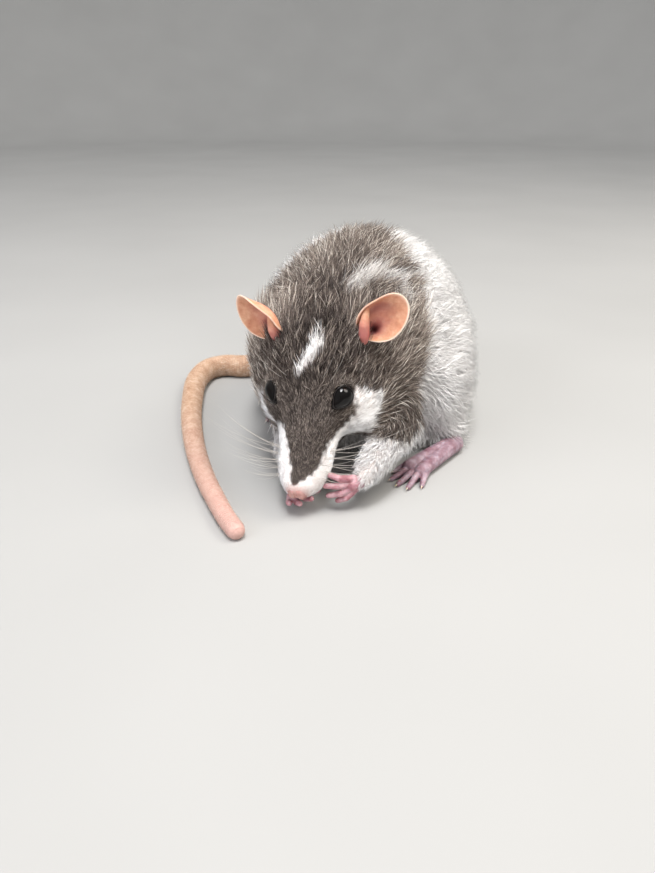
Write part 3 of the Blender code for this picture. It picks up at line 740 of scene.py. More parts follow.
def dark_share(points):
    """1 where the coat is grey-brown and 0 where it is white."""
    head = in_head(points)
    fine = 0.35 * wobble(points, 2.2, 3)
    dark = hood_and_stripe(points, head)
    dark = dark * rise(from_stroke(head, BLAZE) + fine, *BLAZE_SOFT)
    mirrored = head * np.array([np.sign(head[:, 0]), np.ones(len(head)), np.ones(len(head))]).T
    cheek = from_stroke(mirrored, CHEEK) + 2.4 * rise(-head[:, 0], 0, 2)
    dark = dark * soft_step(cheek + 1.6 * fine, 0, CHEEK_SOFT)
    right = np.interp(head[:, 1], SNOUT_STATIONS, SNOUT_RIGHT)
    left = np.interp(head[:, 1], SNOUT_STATIONS, SNOUT_LEFT)
    inside = soft_step(head[:, 0] + fine, right, SNOUT_RIGHT_SOFT)
    inside = inside * (1 - soft_step(head[:, 0] + fine, left, SNOUT_LEFT_SOFT))
    on_snout = 1 - rise(head[:, 1], *SNOUT_END)
    dark = dark * (1 - on_snout * (1 - inside))
    dark = dark * (1 - BAND_SHARE * neck_band(points))
    return dark * rise(head[:, 1], *NOSE_END)


def tanner(values, change):
    """A change in how tan the coat is, which comes over a stretch of the values."""
    amount, start, end = change
    return amount * rise(values, start, end)


def pale_share(points):
    """How tan and light the dark coat is: least between the eyes, most over neck and back, and lighter
    on the right side of the face as painted light.
    """
    head = in_head(points)
    high = rise(points[:, 2], *BACK_HEIGHTS)
    pale = DARKEST + tanner(head[:, 1], NAPE_TAN) + tanner(-head[:, 2], THROAT_TAN)
    pale = pale + tanner(-points[:, 0], RIGHT_BACK_TAN) * high
    pale = pale + tanner(points[:, 0], LEFT_BACK_TAN) * high
    pale = pale + tanner(np.abs(head[:, 0]) + 0.8 * wobble(points, 5, 6), SIDE_TAN)
    # Painted light: the right side of the face is lighter where light falls on it
    pale = pale + tanner(-head[:, 0], RIGHT_FACE_PAINTED_LIGHT)
    pale = pale - SNOUT_DARK[0] + tanner(head[:, 1], SNOUT_DARK)
    for sign in SIDES.values():
        from_eye = from_point(points, head_point(sign * EYE_SIDE, 0, 0))
        pale = pale + EYE_RING_TAN[0] - tanner(from_eye, EYE_RING_TAN)
    pale = np.maximum(pale, BAND_TAN * neck_band(points))
    return np.clip(pale + 0.1 * wobble(points, 9, 4), LEAST_PALE, 1)


skin_dark = dark_share(skin_points)
print("dark share of the skin:", round(float(skin_dark.mean()), 2))

# %% [markdown]
# The tufts need to know their place on an unwrap of the skin, so that a baked picture of each one
# falls where its root is. The skin is unwrapped by its own shape, in islands that don't overlap.

# %% Unwrap the skin
BAKE_MAP = "OFBake"
UNWRAP_ANGLE = 60
ISLAND_MARGIN = 0.004


def unwrap(obj):
    obj.data.uv_layers.new(name=BAKE_MAP)
    bpy.context.view_layer.objects.active = obj
    obj.select_set(True)
    bpy.ops.object.mode_set(mode="EDIT")
    bpy.ops.mesh.select_all(action="SELECT")
    bpy.ops.uv.smart_project(
        angle_limit=math.radians(UNWRAP_ANGLE), island_margin=ISLAND_MARGIN, margin_method="FRACTION"
    )
    bpy.ops.object.mode_set(mode="OBJECT")
    obj.select_set(False)


def stored_pale(pale):
    """Paleness as the coat's material reads it, a share between 0 and 1."""
    return (pale - LEAST_PALE) / (1 - LEAST_PALE)


def mark(obj, dark, tone, along, pale):
    """Stores what the coat's material reads: marking, tone, place along the hair, paleness."""
    attribute = obj.data.color_attributes.new("marking", "FLOAT_COLOR", "POINT")
    values = np.stack([dark, tone, along, stored_pale(pale)], axis=1).astype(np.float32)
    attribute.data.foreach_set("color", values.ravel())


unwrap(skin)
# The skin sits at the hairs' roots with a low tone, so it takes their darkened root colour: painted
# shade of the gaps in the coat
mark(skin, skin_dark, 0.4 + 0 * skin_dark, 0 * skin_dark, pale_share(skin_points))
pink_layer = skin.data.attributes.new("pink", "FLOAT", "POINT")
pink_layer.data.foreach_set("value", pink_share(skin_points).astype(np.float32))

# %% [markdown]
# Fur is keratin, a matte fibre. Each hair of an agouti coat is darker at its root, partly by its own
# pigment and partly by painted shade deep in the coat, and some hairs are nearly black, others
# grey-brown and one in six pale, which gives the ticked look. White hairs have no pigment; they are
# painted greyer at the root as shade deep in the coat. The material mixes both from the marking
# that each point carries. On the skin the same material stands for the underfur, with a fine
# relief, takes the dark colour of the roots as painted shade, and turns pink at the nose.

# %% The coat's materials
STRAND_WIDTH = 0.5 * MM
STRAND_RELIEF = 0.4 * MM
TAN_TONE = 0.55
LIGHTEST_TONE = 1.5
# How dark a hair's root is: partly its pigment, partly painted shade deep in the coat
ROOT_PIGMENT_AND_PAINTED_SHADE = 0.42
AGOUTI = ((0.0, "#191412"), (0.22, "#413835"), (0.5, "#74675f"), (0.75, "#b7a99d"), (1.0, "#ece3d8"))
# White hair, painted greyer toward its root as shade deep in the coat
WHITE_HAIR_WITH_PAINTED_ROOT_SHADE = ((0.0, "#d3c9c5"), (0.35, "#eeeae8"), (1.0, "#ffffff"))


def agouti_colour(tree, marking, split):
    """Pigmented hair: each has a tone of its own, lighter where the coat is tan, and dark at its root,
    partly its own pigment and partly painted shade deep in the coat.
    """
    lighter = add_node(
        tree, "ShaderNodeMapRange",
        {"Value": marking.outputs["Alpha"], "From Min": stored_pale(0), "To Max": TAN_TONE},
    )
    tone = add_node(
        tree, "ShaderNodeMath", {0: lighter.outputs[0], 1: split.outputs["Green"]}, operation="ADD"
    )
    ticked = add_node(
        tree, "ShaderNodeMapRange",
        {"Value": tone.outputs[0], "From Min": 0.0, "From Max": LIGHTEST_TONE},
    )
    agouti = add_node(tree, "ShaderNodeValToRGB", {"Fac": ticked.outputs[0]}, stops=AGOUTI)
    # The darker root is partly the hair's own pigment and partly painted shade in the gaps of the coat
    root_pigment_and_painted_shade = add_node(
        tree, "ShaderNodeMapRange",
        {"Value": split.outputs["Blue"], "From Max": 0.8, "To Min": ROOT_PIGMENT_AND_PAINTED_SHADE, "To Max": 1.0},
    )
    return add_node(
        tree, "ShaderNodeMix", {0: 1.0, MIX_A: agouti.outputs[0], MIX_B: root_pigment_and_painted_shade.outputs[0]},
        data_type="RGBA", blend_type="MULTIPLY",
    ).outputs[MIX_RESULT]


def white_colour(tree, marking, split):
    """Hair without pigment: greyer toward its root as painted shade deep in the coat, and a trace pinker
    where paleness is below 0.
    """
    # Painted shade: white hair is greyer toward its root, deep in the coat
    white = add_node(tree, "ShaderNodeValToRGB", {"Fac": split.outputs["Blue"]}, stops=WHITE_HAIR_WITH_PAINTED_ROOT_SHADE)
    thin_hair = add_node(
        tree, "ShaderNodeMapRange",
        {"Value": marking.outputs["Alpha"], "From Min": stored_pale(-0.05),
         "From Max": stored_pale(-0.4)},
    )
    return add_node(
        tree, "ShaderNodeMix",
        {0: thin_hair.outputs[0], MIX_A: white.outputs[0], MIX_B: linear("#dccfcc")},
        data_type="RGBA", blend_type="MULTIPLY",
    ).outputs[MIX_RESULT]


def coat_material(name, bump_height):
    material, tree, shader = new_material(name, Roughness=0.62, Specular_IOR_Level=0.28)
    marking = add_node(tree, "ShaderNodeAttribute", attribute_name="marking")
    split = add_node(tree, "ShaderNodeSeparateColor", {"Color": marking.outputs["Color"]})
    surface = add_node(
        tree, "ShaderNodeMix",
        {0: split.outputs["Red"], MIX_A: white_colour(tree, marking, split),
         MIX_B: agouti_colour(tree, marking, split)},
        data_type="RGBA",
    ).outputs[MIX_RESULT]
    strands = None
    if bump_height:
        pink = add_node(tree, "ShaderNodeAttribute", attribute_name="pink")
        surface = add_node(
            tree, "ShaderNodeMix", {0: pink.outputs["Fac"], MIX_A: surface, MIX_B: linear("#c99a92")},
            data_type="RGBA",
        ).outputs[MIX_RESULT]
        place = add_node(tree, "ShaderNodeTexCoord")
        strands = add_node(
            tree, "ShaderNodeTexNoise",
            {"Vector": place.outputs["Object"], "Scale": 1 / STRAND_WIDTH, "Detail": 3.0},
        ).outputs["Fac"]
    finish_shader(tree, shader, surface, strands, bump_height, 0.8)
    return material


tuft_fur = coat_material("rat fur in tufts", 0)
under_fur = coat_material("rat underfur on skin", STRAND_RELIEF)

# %% [markdown]
# Each tuft is a thin closed spike that leaves the skin at a low angle along the lie of the hair.
# Short hair is a straight spike of four triangles, and long hair bends down once on its way. Roots
# are drawn at random over the skin, more where the hair is short. Tips lean toward a neighbour's,
# which gathers the coat into small locks as real fur gathers.

# %% The shape of a tuft
STRAIGHT_FACES = ((0, 1, 3), (1, 2, 3), (2, 0, 3), (2, 1, 0))
BENT_FACES = (
    (0, 1, 4), (0, 4, 3), (1, 2, 5), (1, 5, 4), (2, 0, 3), (2, 3, 5),
    (3, 4, 6), (4, 5, 6), (5, 3, 6), (2, 1, 0),
)
BAKE_PATCH = 0.003
PATCH_ROOT = ((-0.5, -0.5), (0.5, -0.5), (0, 0.2))
PATCH_TIP = (0, 0.5)
MID_PATCH = 0.6
MID_WIDTH = 0.8


def rings_round(centres, aheads, widths, spin):
    """Three points round each centre, square to the way ahead."""
    across = np.cross(aheads, np.roll(aheads, 1, axis=1) + 0.31)
    across = unit_rows(across)
    third = np.cross(aheads, across)
    points = []
    for corner in range(3):
        angle = spin + corner * 2 * math.pi / 3
        turn = np.cos(angle)[:, None] * across + np.sin(angle)[:, None] * third
        points.append(centres + turn * widths[:, None])
    return points


def mesh_from_arrays(name, points, faces):
    """A mesh of many small closed shapes at once, for bmesh would take minutes over them."""
    mesh = bpy.data.meshes.new(name)
    mesh.vertices.add(len(points))
    mesh.vertices.foreach_set("co", points.astype(np.float32).ravel())
    mesh.loops.add(faces.size)
    mesh.loops.foreach_set("vertex_index", faces.astype(np.int32).ravel())
    mesh.polygons.add(len(faces))
    mesh.polygons.foreach_set("loop_start", np.arange(0, faces.size, 3, dtype=np.int32))
    mesh.update(calc_edges=True)
    return new_object(name, mesh)


def tuft_mesh(name, hairs, bent):
    """Spikes for all the hairs: their roots, middles, tips, widths, marking and place to bake."""
    count = len(hairs["root"])
    spin = RANDOM.uniform(0, 2 * math.pi, count)
    ahead = unit_rows(hairs["tip"] - hairs["root"])
    levels = [(rings_round(hairs["root"], ahead, hairs["width"], spin), 0.0)]
    if bent:
        levels.append((rings_round(hairs["middle"], ahead, MID_WIDTH * hairs["width"], spin), 0.5))
    columns = [ring for rings, _ in levels for ring in rings] + [hairs["tip"]]
    along = [level for rings, level in levels for _ in rings] + [1.0]
    per_hair = len(columns)
    points = np.stack(columns, axis=1).reshape(-1, 3)
    shape = np.array(BENT_FACES if bent else STRAIGHT_FACES)
    faces = (shape[None] + per_hair * np.arange(count)[:, None, None]).reshape(-1, 3)
    obj = mesh_from_arrays(name, points, faces)
    repeated = {key: np.repeat(hairs[key], per_hair) for key in ("dark", "tone", "pale")}
    mark(obj, repeated["dark"], repeated["tone"], np.tile(along, count), repeated["pale"])
    corners = np.tile(PATCH_ROOT, (len(levels), 1))
    corners[3:] *= MID_PATCH
    corners = np.concatenate([corners, [PATCH_TIP]]) * BAKE_PATCH
    places = (hairs["uv"][:, None] + corners[None]).reshape(-1, 2)
    layer = obj.data.uv_layers.new(name=BAKE_MAP)
    layer.data.foreach_set("uv", places[faces.ravel()].astype(np.float32).ravel())
    return obj


# %% Roots over the skin
LOCK_SPACING = 1.7


def skin_triangles():
    skin.data.calc_loop_triangles()
    corners = np.empty(len(skin.data.loop_triangles) * 3, np.int32)
    skin.data.loop_triangles.foreach_get("vertices", corners)
    loops = np.empty_like(corners)
    skin.data.loop_triangles.foreach_get("loops", loops)
    uv = np.empty(len(skin.data.loops) * 2, np.float32)
    skin.data.uv_layers[BAKE_MAP].data.foreach_get("uv", uv)
    return corners.reshape(-1, 3), uv.reshape(-1, 2)[loops].reshape(-1, 3, 2)


TRIANGLES, TRIANGLE_UVS = skin_triangles()
SIDES_A = skin_points[TRIANGLES[:, 1]] - skin_points[TRIANGLES[:, 0]]
SIDES_B = skin_points[TRIANGLES[:, 2]] - skin_points[TRIANGLES[:, 0]]
AREAS = np.linalg.norm(np.cross(SIDES_A, SIDES_B), axis=1) / 2


def draw_roots(count, density):
    """Random places on the skin, as triangles and the weights of their corners."""
    chance = AREAS * density[TRIANGLES].mean(axis=1)
    chosen = RANDOM.choice(len(TRIANGLES), count, p=chance / chance.sum())
    first, second = RANDOM.random((2, count))
    over = first + second > 1
    first[over] = 1 - first[over]
    second[over] = 1 - second[over]
    return chosen, np.stack([1 - first - second, first, second], axis=1)


def at_roots(values, chosen, weights):
    return np.einsum("ij,ij...->i...", weights, values[TRIANGLES[chosen]])


def lock_seeds(spacing):
    """For each point of the skin, the point at the heart of its lock."""
    order = RANDOM.permutation(len(skin_points))
    keep = order[: int(AREAS.sum() / spacing**2)]
    tree = KDTree(len(keep))
    for index in keep:
        tree.insert(skin_points[index], index)
    tree.balance()
    return np.array([tree.find(point)[1] for point in skin_points])


LOCKS = lock_seeds(LOCK_SPACING)
print("skin area in square mm:", round(float(AREAS.sum())))

# %% [markdown]
# Two coats grow from the roots. The undercoat is short, dense and soft, and the guard hairs are
# longer, fewer and stand a little higher, most of all over the back, where the light catches them.
# Each coat is then cut into pieces by part of the body and from front to rear.

# %% Grow the coat
ROOT_SUNK = 0.25
FLOOR_CLEAR = 0.12
JITTER = 0.22
LOCK_JITTER = 0.30
LOCK_PULL = 0.30
TICKED = 0.16
TICKED_TONES = (0.85, 1.2)
LENGTHS = (0.75, 1.25)
LIFTS = (0.7, 1.3)
WIDTHS = (0.8, 1.2)
LONG_HAIR = 6
WIDE_HAIR = 5
SHORT_COUNT = 210000
LONG_COUNT = 62000
HEAD_DENSER = 2.0
FACE_DENSER = 4.0
CROWN_GUARD = 0.7
BARER_UNDERNEATH = 0.6
BACK_ZONE = (25, 55)
HEAD_LIFT = 15
BODY_LIFT = 24
EAR_LIFT = 22
GUARD_LIFT = 28
BACK_LIFT = 40


def hair_tones(count):
    """Most hairs are dark to middling, and one in six is a pale one that ticks the coat."""
    tones = 0.8 * RANDOM.beta(1.5, 2.2, count)
    ticked = RANDOM.random(count) < TICKED
    return np.where(ticked, RANDOM.uniform(*TICKED_TONES, count), tones)


def grow(count, density, length_scale, width, lift, bend):
    """Hairs drawn over the skin: lift is their angle at the root, bend the share that the tip keeps."""
    chosen, weights = draw_roots(count, density)
    roots = at_roots(skin_points, chosen, weights)
    normals = unit_rows(at_roots(skin_normals, chosen, weights))
    lock = LOCKS[TRIANGLES[chosen, weights.argmax(axis=1)]]
    sway = lock_sway[lock] * LOCK_JITTER + RANDOM.normal(size=(count, 3)) * JITTER
    ahead = laid(at_roots(lie, chosen, weights) + sway, normals)
    length = at_roots(hair_length, chosen, weights) * length_scale * RANDOM.uniform(*LENGTHS, count)
    angle = np.radians(at_roots(lift, chosen, weights) * RANDOM.uniform(*LIFTS, count))[:, None]
    start = np.cos(angle) * ahead + np.sin(angle) * normals
    end = np.cos(angle * bend) * ahead + np.sin(angle * bend) * normals
    middle = roots + start * (0.5 * length)[:, None]
    tip = middle + end * (0.5 * length)[:, None]
    lock_tip = skin_points[lock] + (tip - roots)
    tip = tip + (lock_tip - tip) * (LOCK_PULL * np.minimum(1, length / LONG_HAIR))[:, None]
    full_width = 0.5 + 0.5 * np.minimum(1, length / WIDE_HAIR)
    hairs = {
        "root": roots - normals * ROOT_SUNK, "middle": middle, "tip": tip,
        "width": width * full_width * RANDOM.uniform(*WIDTHS, count),
        "dark": dark_share(middle), "tone": hair_tones(count), "pale": pale_share(middle),
        "uv": np.einsum("ij,ijk->ik", weights, TRIANGLE_UVS[chosen]),
        "part": part_of[TRIANGLES[chosen, 0]],
    }
    for key in ("root", "middle", "tip"):
        keep_above(hairs[key], FLOOR_CLEAR)
    return hairs


lock_sway = RANDOM.normal(size=(len(skin_points), 3))
furred = rise(bareness, 0.02, 0.16)
on_face = on_head * (1 - rise(along_face, -14, 2))
short_hair = furred * (1 + HEAD_DENSER * on_head + FACE_DENSER * on_face)
crown = rise(along_face, -6, 6)
long_hair = furred * (1 - on_head * (1 - CROWN_GUARD * crown)) * (1 - BARER_UNDERNEATH * underneath)
lift_short = HEAD_LIFT + (BODY_LIFT - HEAD_LIFT) * (1 - on_head) + EAR_LIFT * ear_near
lift_long = GUARD_LIFT + (BACK_LIFT - GUARD_LIFT) * rise(skin_points[:, 2], *BACK_ZONE)
short_coat = grow(SHORT_COUNT, short_hair, length_scale=0.9, width=0.09, lift=lift_short, bend=0.8)
long_coat = grow(LONG_COUNT, long_hair, length_scale=1.25, width=0.11, lift=lift_long, bend=0.5)

# %% Split the coat into pieces
PIECE_LIMIT = 190000
COAT_PARTS = {
    "head": ("head",),
    "trunk": ("neck", "torso"),
    "limbs": tuple(f"{limb}_{side}" for limb in LIMBS for side in SIDES),
}


def lay_coat(label, hairs, bent):
    per_hair = len(BENT_FACES if bent else STRAIGHT_FACES)
    for region, solids in COAT_PARTS.items():
        chosen = np.flatnonzero(np.isin(hairs["part"], [FLESH.index(name) for name in solids]))
        chosen = chosen[np.argsort(hairs["root"][chosen, 1])]
        pieces = math.ceil(len(chosen) * per_hair / PIECE_LIMIT)
        for number, piece in enumerate(np.array_split(chosen, pieces)):
            name = f"coat_{label}_{region}_{number + 1}"
            part = {key: values[piece] for key, values in hairs.items()}
            slot = "dark_coat" if part["dark"].mean() > 0.5 else "white_coat"
            settle(tuft_mesh(name, part, bent), tuft_fur, slot)


lay_coat("under", short_coat, False)
lay_coat("guard", long_coat, True)

# %% The skin goes in its place
settle(skin, under_fur, "white_coat", *FLESH)

# %% [markdown]
# A rat's eye is a bulging black bead. The cornea is wet and very smooth, so it mirrors the lights
# as sharp points. A ball in the place of the solid's, finer than it and drawn out at the inner
# corner like the opening of the lids, has a nearly black and very smooth shader. The edge of the
# lids is a narrow bare rim round that opening.

# %% Eyes
LID_STATIONS = 64
LID_ACROSS = 10
LID_RIM = 0.14


def bare_cornea():
    """Black-brown with a faint cloud in it, so that the bead isn't one flat colour."""
    material, tree, shader = new_material("wet black cornea", Roughness=0.03, IOR=1.38)
    finish_shader(tree, shader, blotched(tree, 3 * MM, ((0.35, "#040303"), (0.7, "#0d0908"))))
    return material


def make_eye(side, material):
    bm = bmesh.new()
    bmesh.ops.create_uvsphere(bm, u_segments=64, v_segments=32, radius=EYE_RADIUS)
    for vert in bm.verts:
        pull = corner_pull(math.atan2(vert.co.y, vert.co.x)) * step_up(vert.co.z, 0, 1)
        pull = pull * step_up(vert.co.xy.length, 0.5, LID_OPEN)
        vert.co.xy *= 1 + pull
        vert.co.z += CORNER_RISE * pull
    bmesh.ops.transform(bm, matrix=eye_place(side), verts=bm.verts)
    settle(mesh_object(f"eyeball_{side}", bm), material, "eye", f"eye_{side}")


def rim_point(angle):
    """A point of the line round the opening, just off the eyeball."""
    reach = rim_reach(angle)
    return Vector((reach * math.cos(angle), reach * math.sin(angle), rim_height(angle)))


def lid_point(angle, tilt):
    """A point of the lid's rim: angle goes round the eye, tilt round the rim's own thickness."""
    centre = rim_point(angle)
    out = centre.normalized()
    way = (rim_point(angle + 0.02) - rim_point(angle - 0.02)).normalized()
    return centre + LID_RIM * (math.sin(tilt) * out + math.cos(tilt) * way.cross(out))


def make_lids(side, material):
    bm = bmesh.new()
    circle = bmesh.ops.create_circle(bm, segments=LID_ACROSS, radius=LID_RIM)["verts"]
    bmesh.ops.rotate(bm, verts=circle, matrix=Matrix.Rotation(math.pi / 2, 3, "X"))
    bmesh.ops.translate(bm, verts=circle, vec=(LID_OPEN, 0, 0))
    bmesh.ops.spin(
        bm, geom=circle + bm.edges[:], axis=(0, 0, 1), cent=(0, 0, 0), angle=2 * math.pi,
        steps=LID_STATIONS, use_merge=True,
    )
    for vert in bm.verts:
        angle = math.atan2(vert.co.y, vert.co.x)
        tilt = math.atan2(vert.co.z, math.hypot(vert.co.x, vert.co.y) - LID_OPEN)
        vert.co = eye_place(side) @ lid_point(angle, tilt)
    bmesh.ops.recalc_face_normals(bm, faces=bm.faces)
    settle(mesh_object(f"lids_{side}", bm), material, "bare_skin")


cornea = bare_cornea()
lid_skin, _, _ = new_material("dark bare eyelid", Base_Color=linear("#1a1413"), Roughness=0.35)
for side in SIDES:
    make_eye(side, cornea)
    make_lids(side, lid_skin)

# %% [markdown]
# The ears are thin cups of almost bare skin, orange-pink where light comes through them. The rim is
# paler, and the front edge folds over inward with a crease behind the fold. Shade is painted into
# the cup's colour: it darkens toward the canal and in the crease. A disc of rings is bent into that
# cup and gets a wall by Solidify and one step of subdivision. In front of the canal stands a small
# lobe, grown over a chain of balls.

# %% Ears
EAR_LENGTH = 18.0
EAR_WIDTH = 12.6
EAR_MIDDLE = 1.0
EAR_STEM_WIDTH = 0.55
EAR_CUP = 3.0
EAR_DEEPEST = (2.2, 3.8)
EAR_WALL = 0.5
EAR_RINGS = 16
EAR_AROUND = 64
EAR_TURNS = {"left": 0, "right": -20}
CANAL_DEPTH = 2.2
CANAL_REACH = 0.16
FOLD_SIDE = 165
FOLD_START = 0.72
FOLD_IN = 1.5
FOLD_RISE = 1.7
CREASE_DEPTH = 0.7
STEM_SUNK = 2.6


def ear_frame(side):
    """The frame that a left ear's points are put in, mirrored for the right ear."""
    mirror = Matrix.Diagonal((SIDES[side], 1, 1, 1))
    return ear_place(side) @ turned((0, EAR_TURNS[side], 0)) @ mirror


def fold_weight(angle, wide):
    """1 at the middle of the rolled front rim and 0 far from it, on an ear of the left side."""
    gap = math.remainder(angle - math.radians(FOLD_SIDE), 2 * math.pi)
    return math.exp(-((gap / wide) ** 2))


def crease_weight(reach, angle, place, wide):
    """1 in the crease behind the rolled rim, whose middle is at a reach of place."""
    return fold_weight(angle + 0.35, 0.9) * math.exp(-(((reach - place) / wide) ** 2))


def ear_point(reach, angle):
    """A point of a left ear's inner face, from its deepest point, reach 0, to the rim, reach 1."""
    rim_x = EAR_MIDDLE + 0.5 * EAR_WIDTH * math.cos(angle)
    rim_y = EAR_LENGTH * (0.5 + 0.5 * math.sin(angle))
    rim_x *= EAR_STEM_WIDTH + (1 - EAR_STEM_WIDTH) * step_up(rim_y, -2.0, 0.5 * EAR_LENGTH)
    x = EAR_DEEPEST[0] + (rim_x - EAR_DEEPEST[0]) * reach
    y = EAR_DEEPEST[1] + (rim_y - EAR_DEEPEST[1]) * reach
    roll = fold_weight(angle, 1.0) * step_up(reach, FOLD_START, 1.0)
    x += FOLD_IN * roll * roll
    z = -EAR_CUP * (1 - reach**1.7) - CANAL_DEPTH * math.exp(-((reach / CANAL_REACH) ** 2))
    z += FOLD_RISE * roll - CREASE_DEPTH * crease_weight(reach, angle, 0.66, 0.1)
    z += (0.3 * math.sin(3 * angle + 1) - 0.5 * math.sin(angle)) * reach**2
    z -= STEM_SUNK * (1 - step_up(rim_y, 0, 5)) * reach**2
    return Vector((x, y, z))


def ear_painted_shade_and_tints(reach, angle):
    """How dark a point of the ear is, as painted shade in the canal and the crease, how deep pink,
    partly painted shadow in the crease, and how pale.
    """
    # Painted shade: the canal and the crease behind the rolled rim are coloured darker, and the crease
    # deeper pink
    canal = math.exp(-((reach / 0.20) ** 2))
    crease = crease_weight(reach, angle, 0.62, 0.13)
    pink = math.exp(-((reach / 0.38) ** 2)) + 0.5 * crease
    pale = step_up(reach, 0.93, 1.0) * (1 - 0.6 * fold_weight(angle, 1.0))
    return min(1.0, canal + 0.45 * crease), min(1.0, pink), pale, 1.0


def ear_sheet(side):
    bm = bmesh.new()
    shades = bm.verts.layers.float_color.new("ear")
    bmesh.ops.create_circle(bm, cap_ends=True, cap_tris=True, segments=EAR_AROUND, radius=1)
    spokes = [edge for edge in bm.edges if min(vert.co.length for vert in edge.verts) < 0.01]
    bmesh.ops.subdivide_edges(bm, edges=spokes, cuts=EAR_RINGS - 1, use_grid_fill=True)
    for vert in bm.verts:
        reach = vert.co.length
        angle = math.atan2(vert.co.y, vert.co.x)
        vert[shades] = ear_painted_shade_and_tints(reach, angle)
        vert.co = ear_frame(side) @ ear_point(reach, angle)
    if side == "right":
        bmesh.ops.reverse_faces(bm, faces=bm.faces)
    return mesh_object(f"ear_shell_{side}", bm)


LOBE = (
    ((-3.6, 8.2, -0.6), 0.7), ((-2.3, 6.4, -0.2), 1.2), ((-0.6, 4.4, 0), 1.6), ((1.2, 2.4, -0.8), 1.7),
    ((2.6, 0.8, -2), 1.3),
)
LOBE_VOXEL = 0.25
LOBE_PINK = 0.8


def make_lobe(side, material):
    bm = bmesh.new()
    centres = [ear_frame(side) @ Vector(centre) for centre, _ in LOBE]
    add_chain(bm, centres, [radius for _, radius in LOBE])
    lobe = melted(f"ear_lobe_{side}", bm, LOBE_VOXEL, 4)
    from_root = from_point(points_of(lobe), centres[-2])
    shades = np.zeros((len(from_root), 4), np.float32)
    shades[:, 1] = LOBE_PINK * (1 - rise(from_root, 1.5, 7))
    shades[:, 3] = 1
    layer = lobe.data.color_attributes.new("ear", "FLOAT_COLOR", "POINT")
    layer.data.foreach_set("color", shades.ravel())
    settle(lobe, material, "bare_skin")


def make_ear(side, material):
    ear = ear_sheet(side)
    wall = ear.modifiers.new("Wall", "SOLIDIFY")
    wall.thickness = EAR_WALL
    wall.offset = -1
    rounding = ear.modifiers.new("Rounding", "SUBSURF")
    rounding.levels = 1
    rounding.render_levels = 1
    apply_modifiers(ear)
    settle(ear, material, "bare_skin", f"ear_{side}")


def ear_material():
    material, tree, shader = new_material(
        "thin ear skin", Roughness=0.52, Subsurface_Weight=0.3, Subsurface_Radius=(1.0, 0.4, 0.25),
        Subsurface_Scale=0.9 * MM, Specular_IOR_Level=0.3,
    )
    colour = blotched(
        tree, 2.6 * MM, ((0.3, "#b87c60"), (0.5, "#cd9678"), (0.7, "#ddb092")),
        Detail=6.0, Roughness=0.65,
    )
    shades = add_node(tree, "ShaderNodeAttribute", attribute_name="ear")
    split = add_node(tree, "ShaderNodeSeparateColor", {"Color": shades.outputs["Color"]})
    # Green is the deep pink, Blue the pale rim, and Red the painted shade of the canal and the crease
    for channel, code in (("Green", "#ba6a6b"), ("Blue", "#ead2c1"), ("Red", "#633230")):
        colour = add_node(
            tree, "ShaderNodeMix", {0: split.outputs[channel], MIX_A: colour, MIX_B: linear(code)},
            data_type="RGBA",
        ).outputs[MIX_RESULT]
    place = add_node(tree, "ShaderNodeTexCoord")
    grain = add_node(
        tree, "ShaderNodeTexNoise",
        {"Vector": place.outputs["Object"], "Scale": 1 / (0.4 * MM), "Detail": 2.0},
    )
    finish_shader(tree, shader, colour, grain.outputs["Fac"], 0.1 * MM, 0.5)
    return material


ear_skin = ear_material()
for side in SIDES:
    make_ear(side, ear_skin)
    make_lobe(side, ear_skin)

# %% [markdown]
# Hands and feet are bare skin with a fine pebbled grain, pink on the hands and more lavender on the
# feet. Each is grown the same way: chains of balls for the palm or the sole and one for each digit,
# melted together by a fine remesh and smoothed. The small claws are separate, for horn has a finish
# of its own.

# %% Bare skin and claws
def bare_material(name, low, middle, high, grain_size):
    material, tree, shader = new_material(
        name, Roughness=0.48, Subsurface_Weight=0.25, Subsurface_Radius=(1.0, 0.35, 0.25),
        Subsurface_Scale=1.0 * MM, Specular_IOR_Level=0.4,
    )
    colour = blotched(tree, 2.2 * MM, ((0.3, low), (0.5, middle), (0.7, high)), Detail=4.0)
    place = add_node(tree, "ShaderNodeTexCoord")
    grain = add_node(
        tree, "ShaderNodeTexVoronoi", {"Vector": place.outputs["Object"], "Scale": 1 / grain_size},
        feature="SMOOTH_F1",
    )
    finish_shader(tree, shader, colour, grain.outputs["Distance"], 0.15 * MM, 0.6)
    return material


hand_skin = bare_material("pink hand skin", "#8a565d", "#ab7b82", "#c6a2a7", 0.35 * MM)
foot_skin = bare_material("lavender foot skin", "#77535d", "#8e747e", "#aa969f", 0.4 * MM)
claw_horn, _, _ = new_material(
    "clear claw horn", Base_Color=linear("#d8c6b4"), Roughness=0.25, Subsurface_Weight=0.2,
    Subsurface_Scale=0.5 * MM, IOR=1.54,
)
CLAW_LENGTH = 1.7
CLAW_RADIUS = 0.34
CLAW_HOOK = 0.3
CLAW_SIDES = 8
CLAW_CUTS = 4
CLAW_CLEAR = 0.02


def add_claw(bm, root, ahead, down, size):
    """A short horn that curves down and starts a little inside the digit."""
    length = CLAW_LENGTH * size
    root = root - ahead * 0.2 * length
    add_spike(bm, root, ahead, down * CLAW_HOOK, length, CLAW_RADIUS * size, CLAW_SIDES, CLAW_CUTS)


def fanned(aim, across, degrees):
    """The way that a digit points, turned from the aim toward across."""
    angle = math.radians(degrees)
    return aim * math.cos(angle) + across * math.sin(angle)


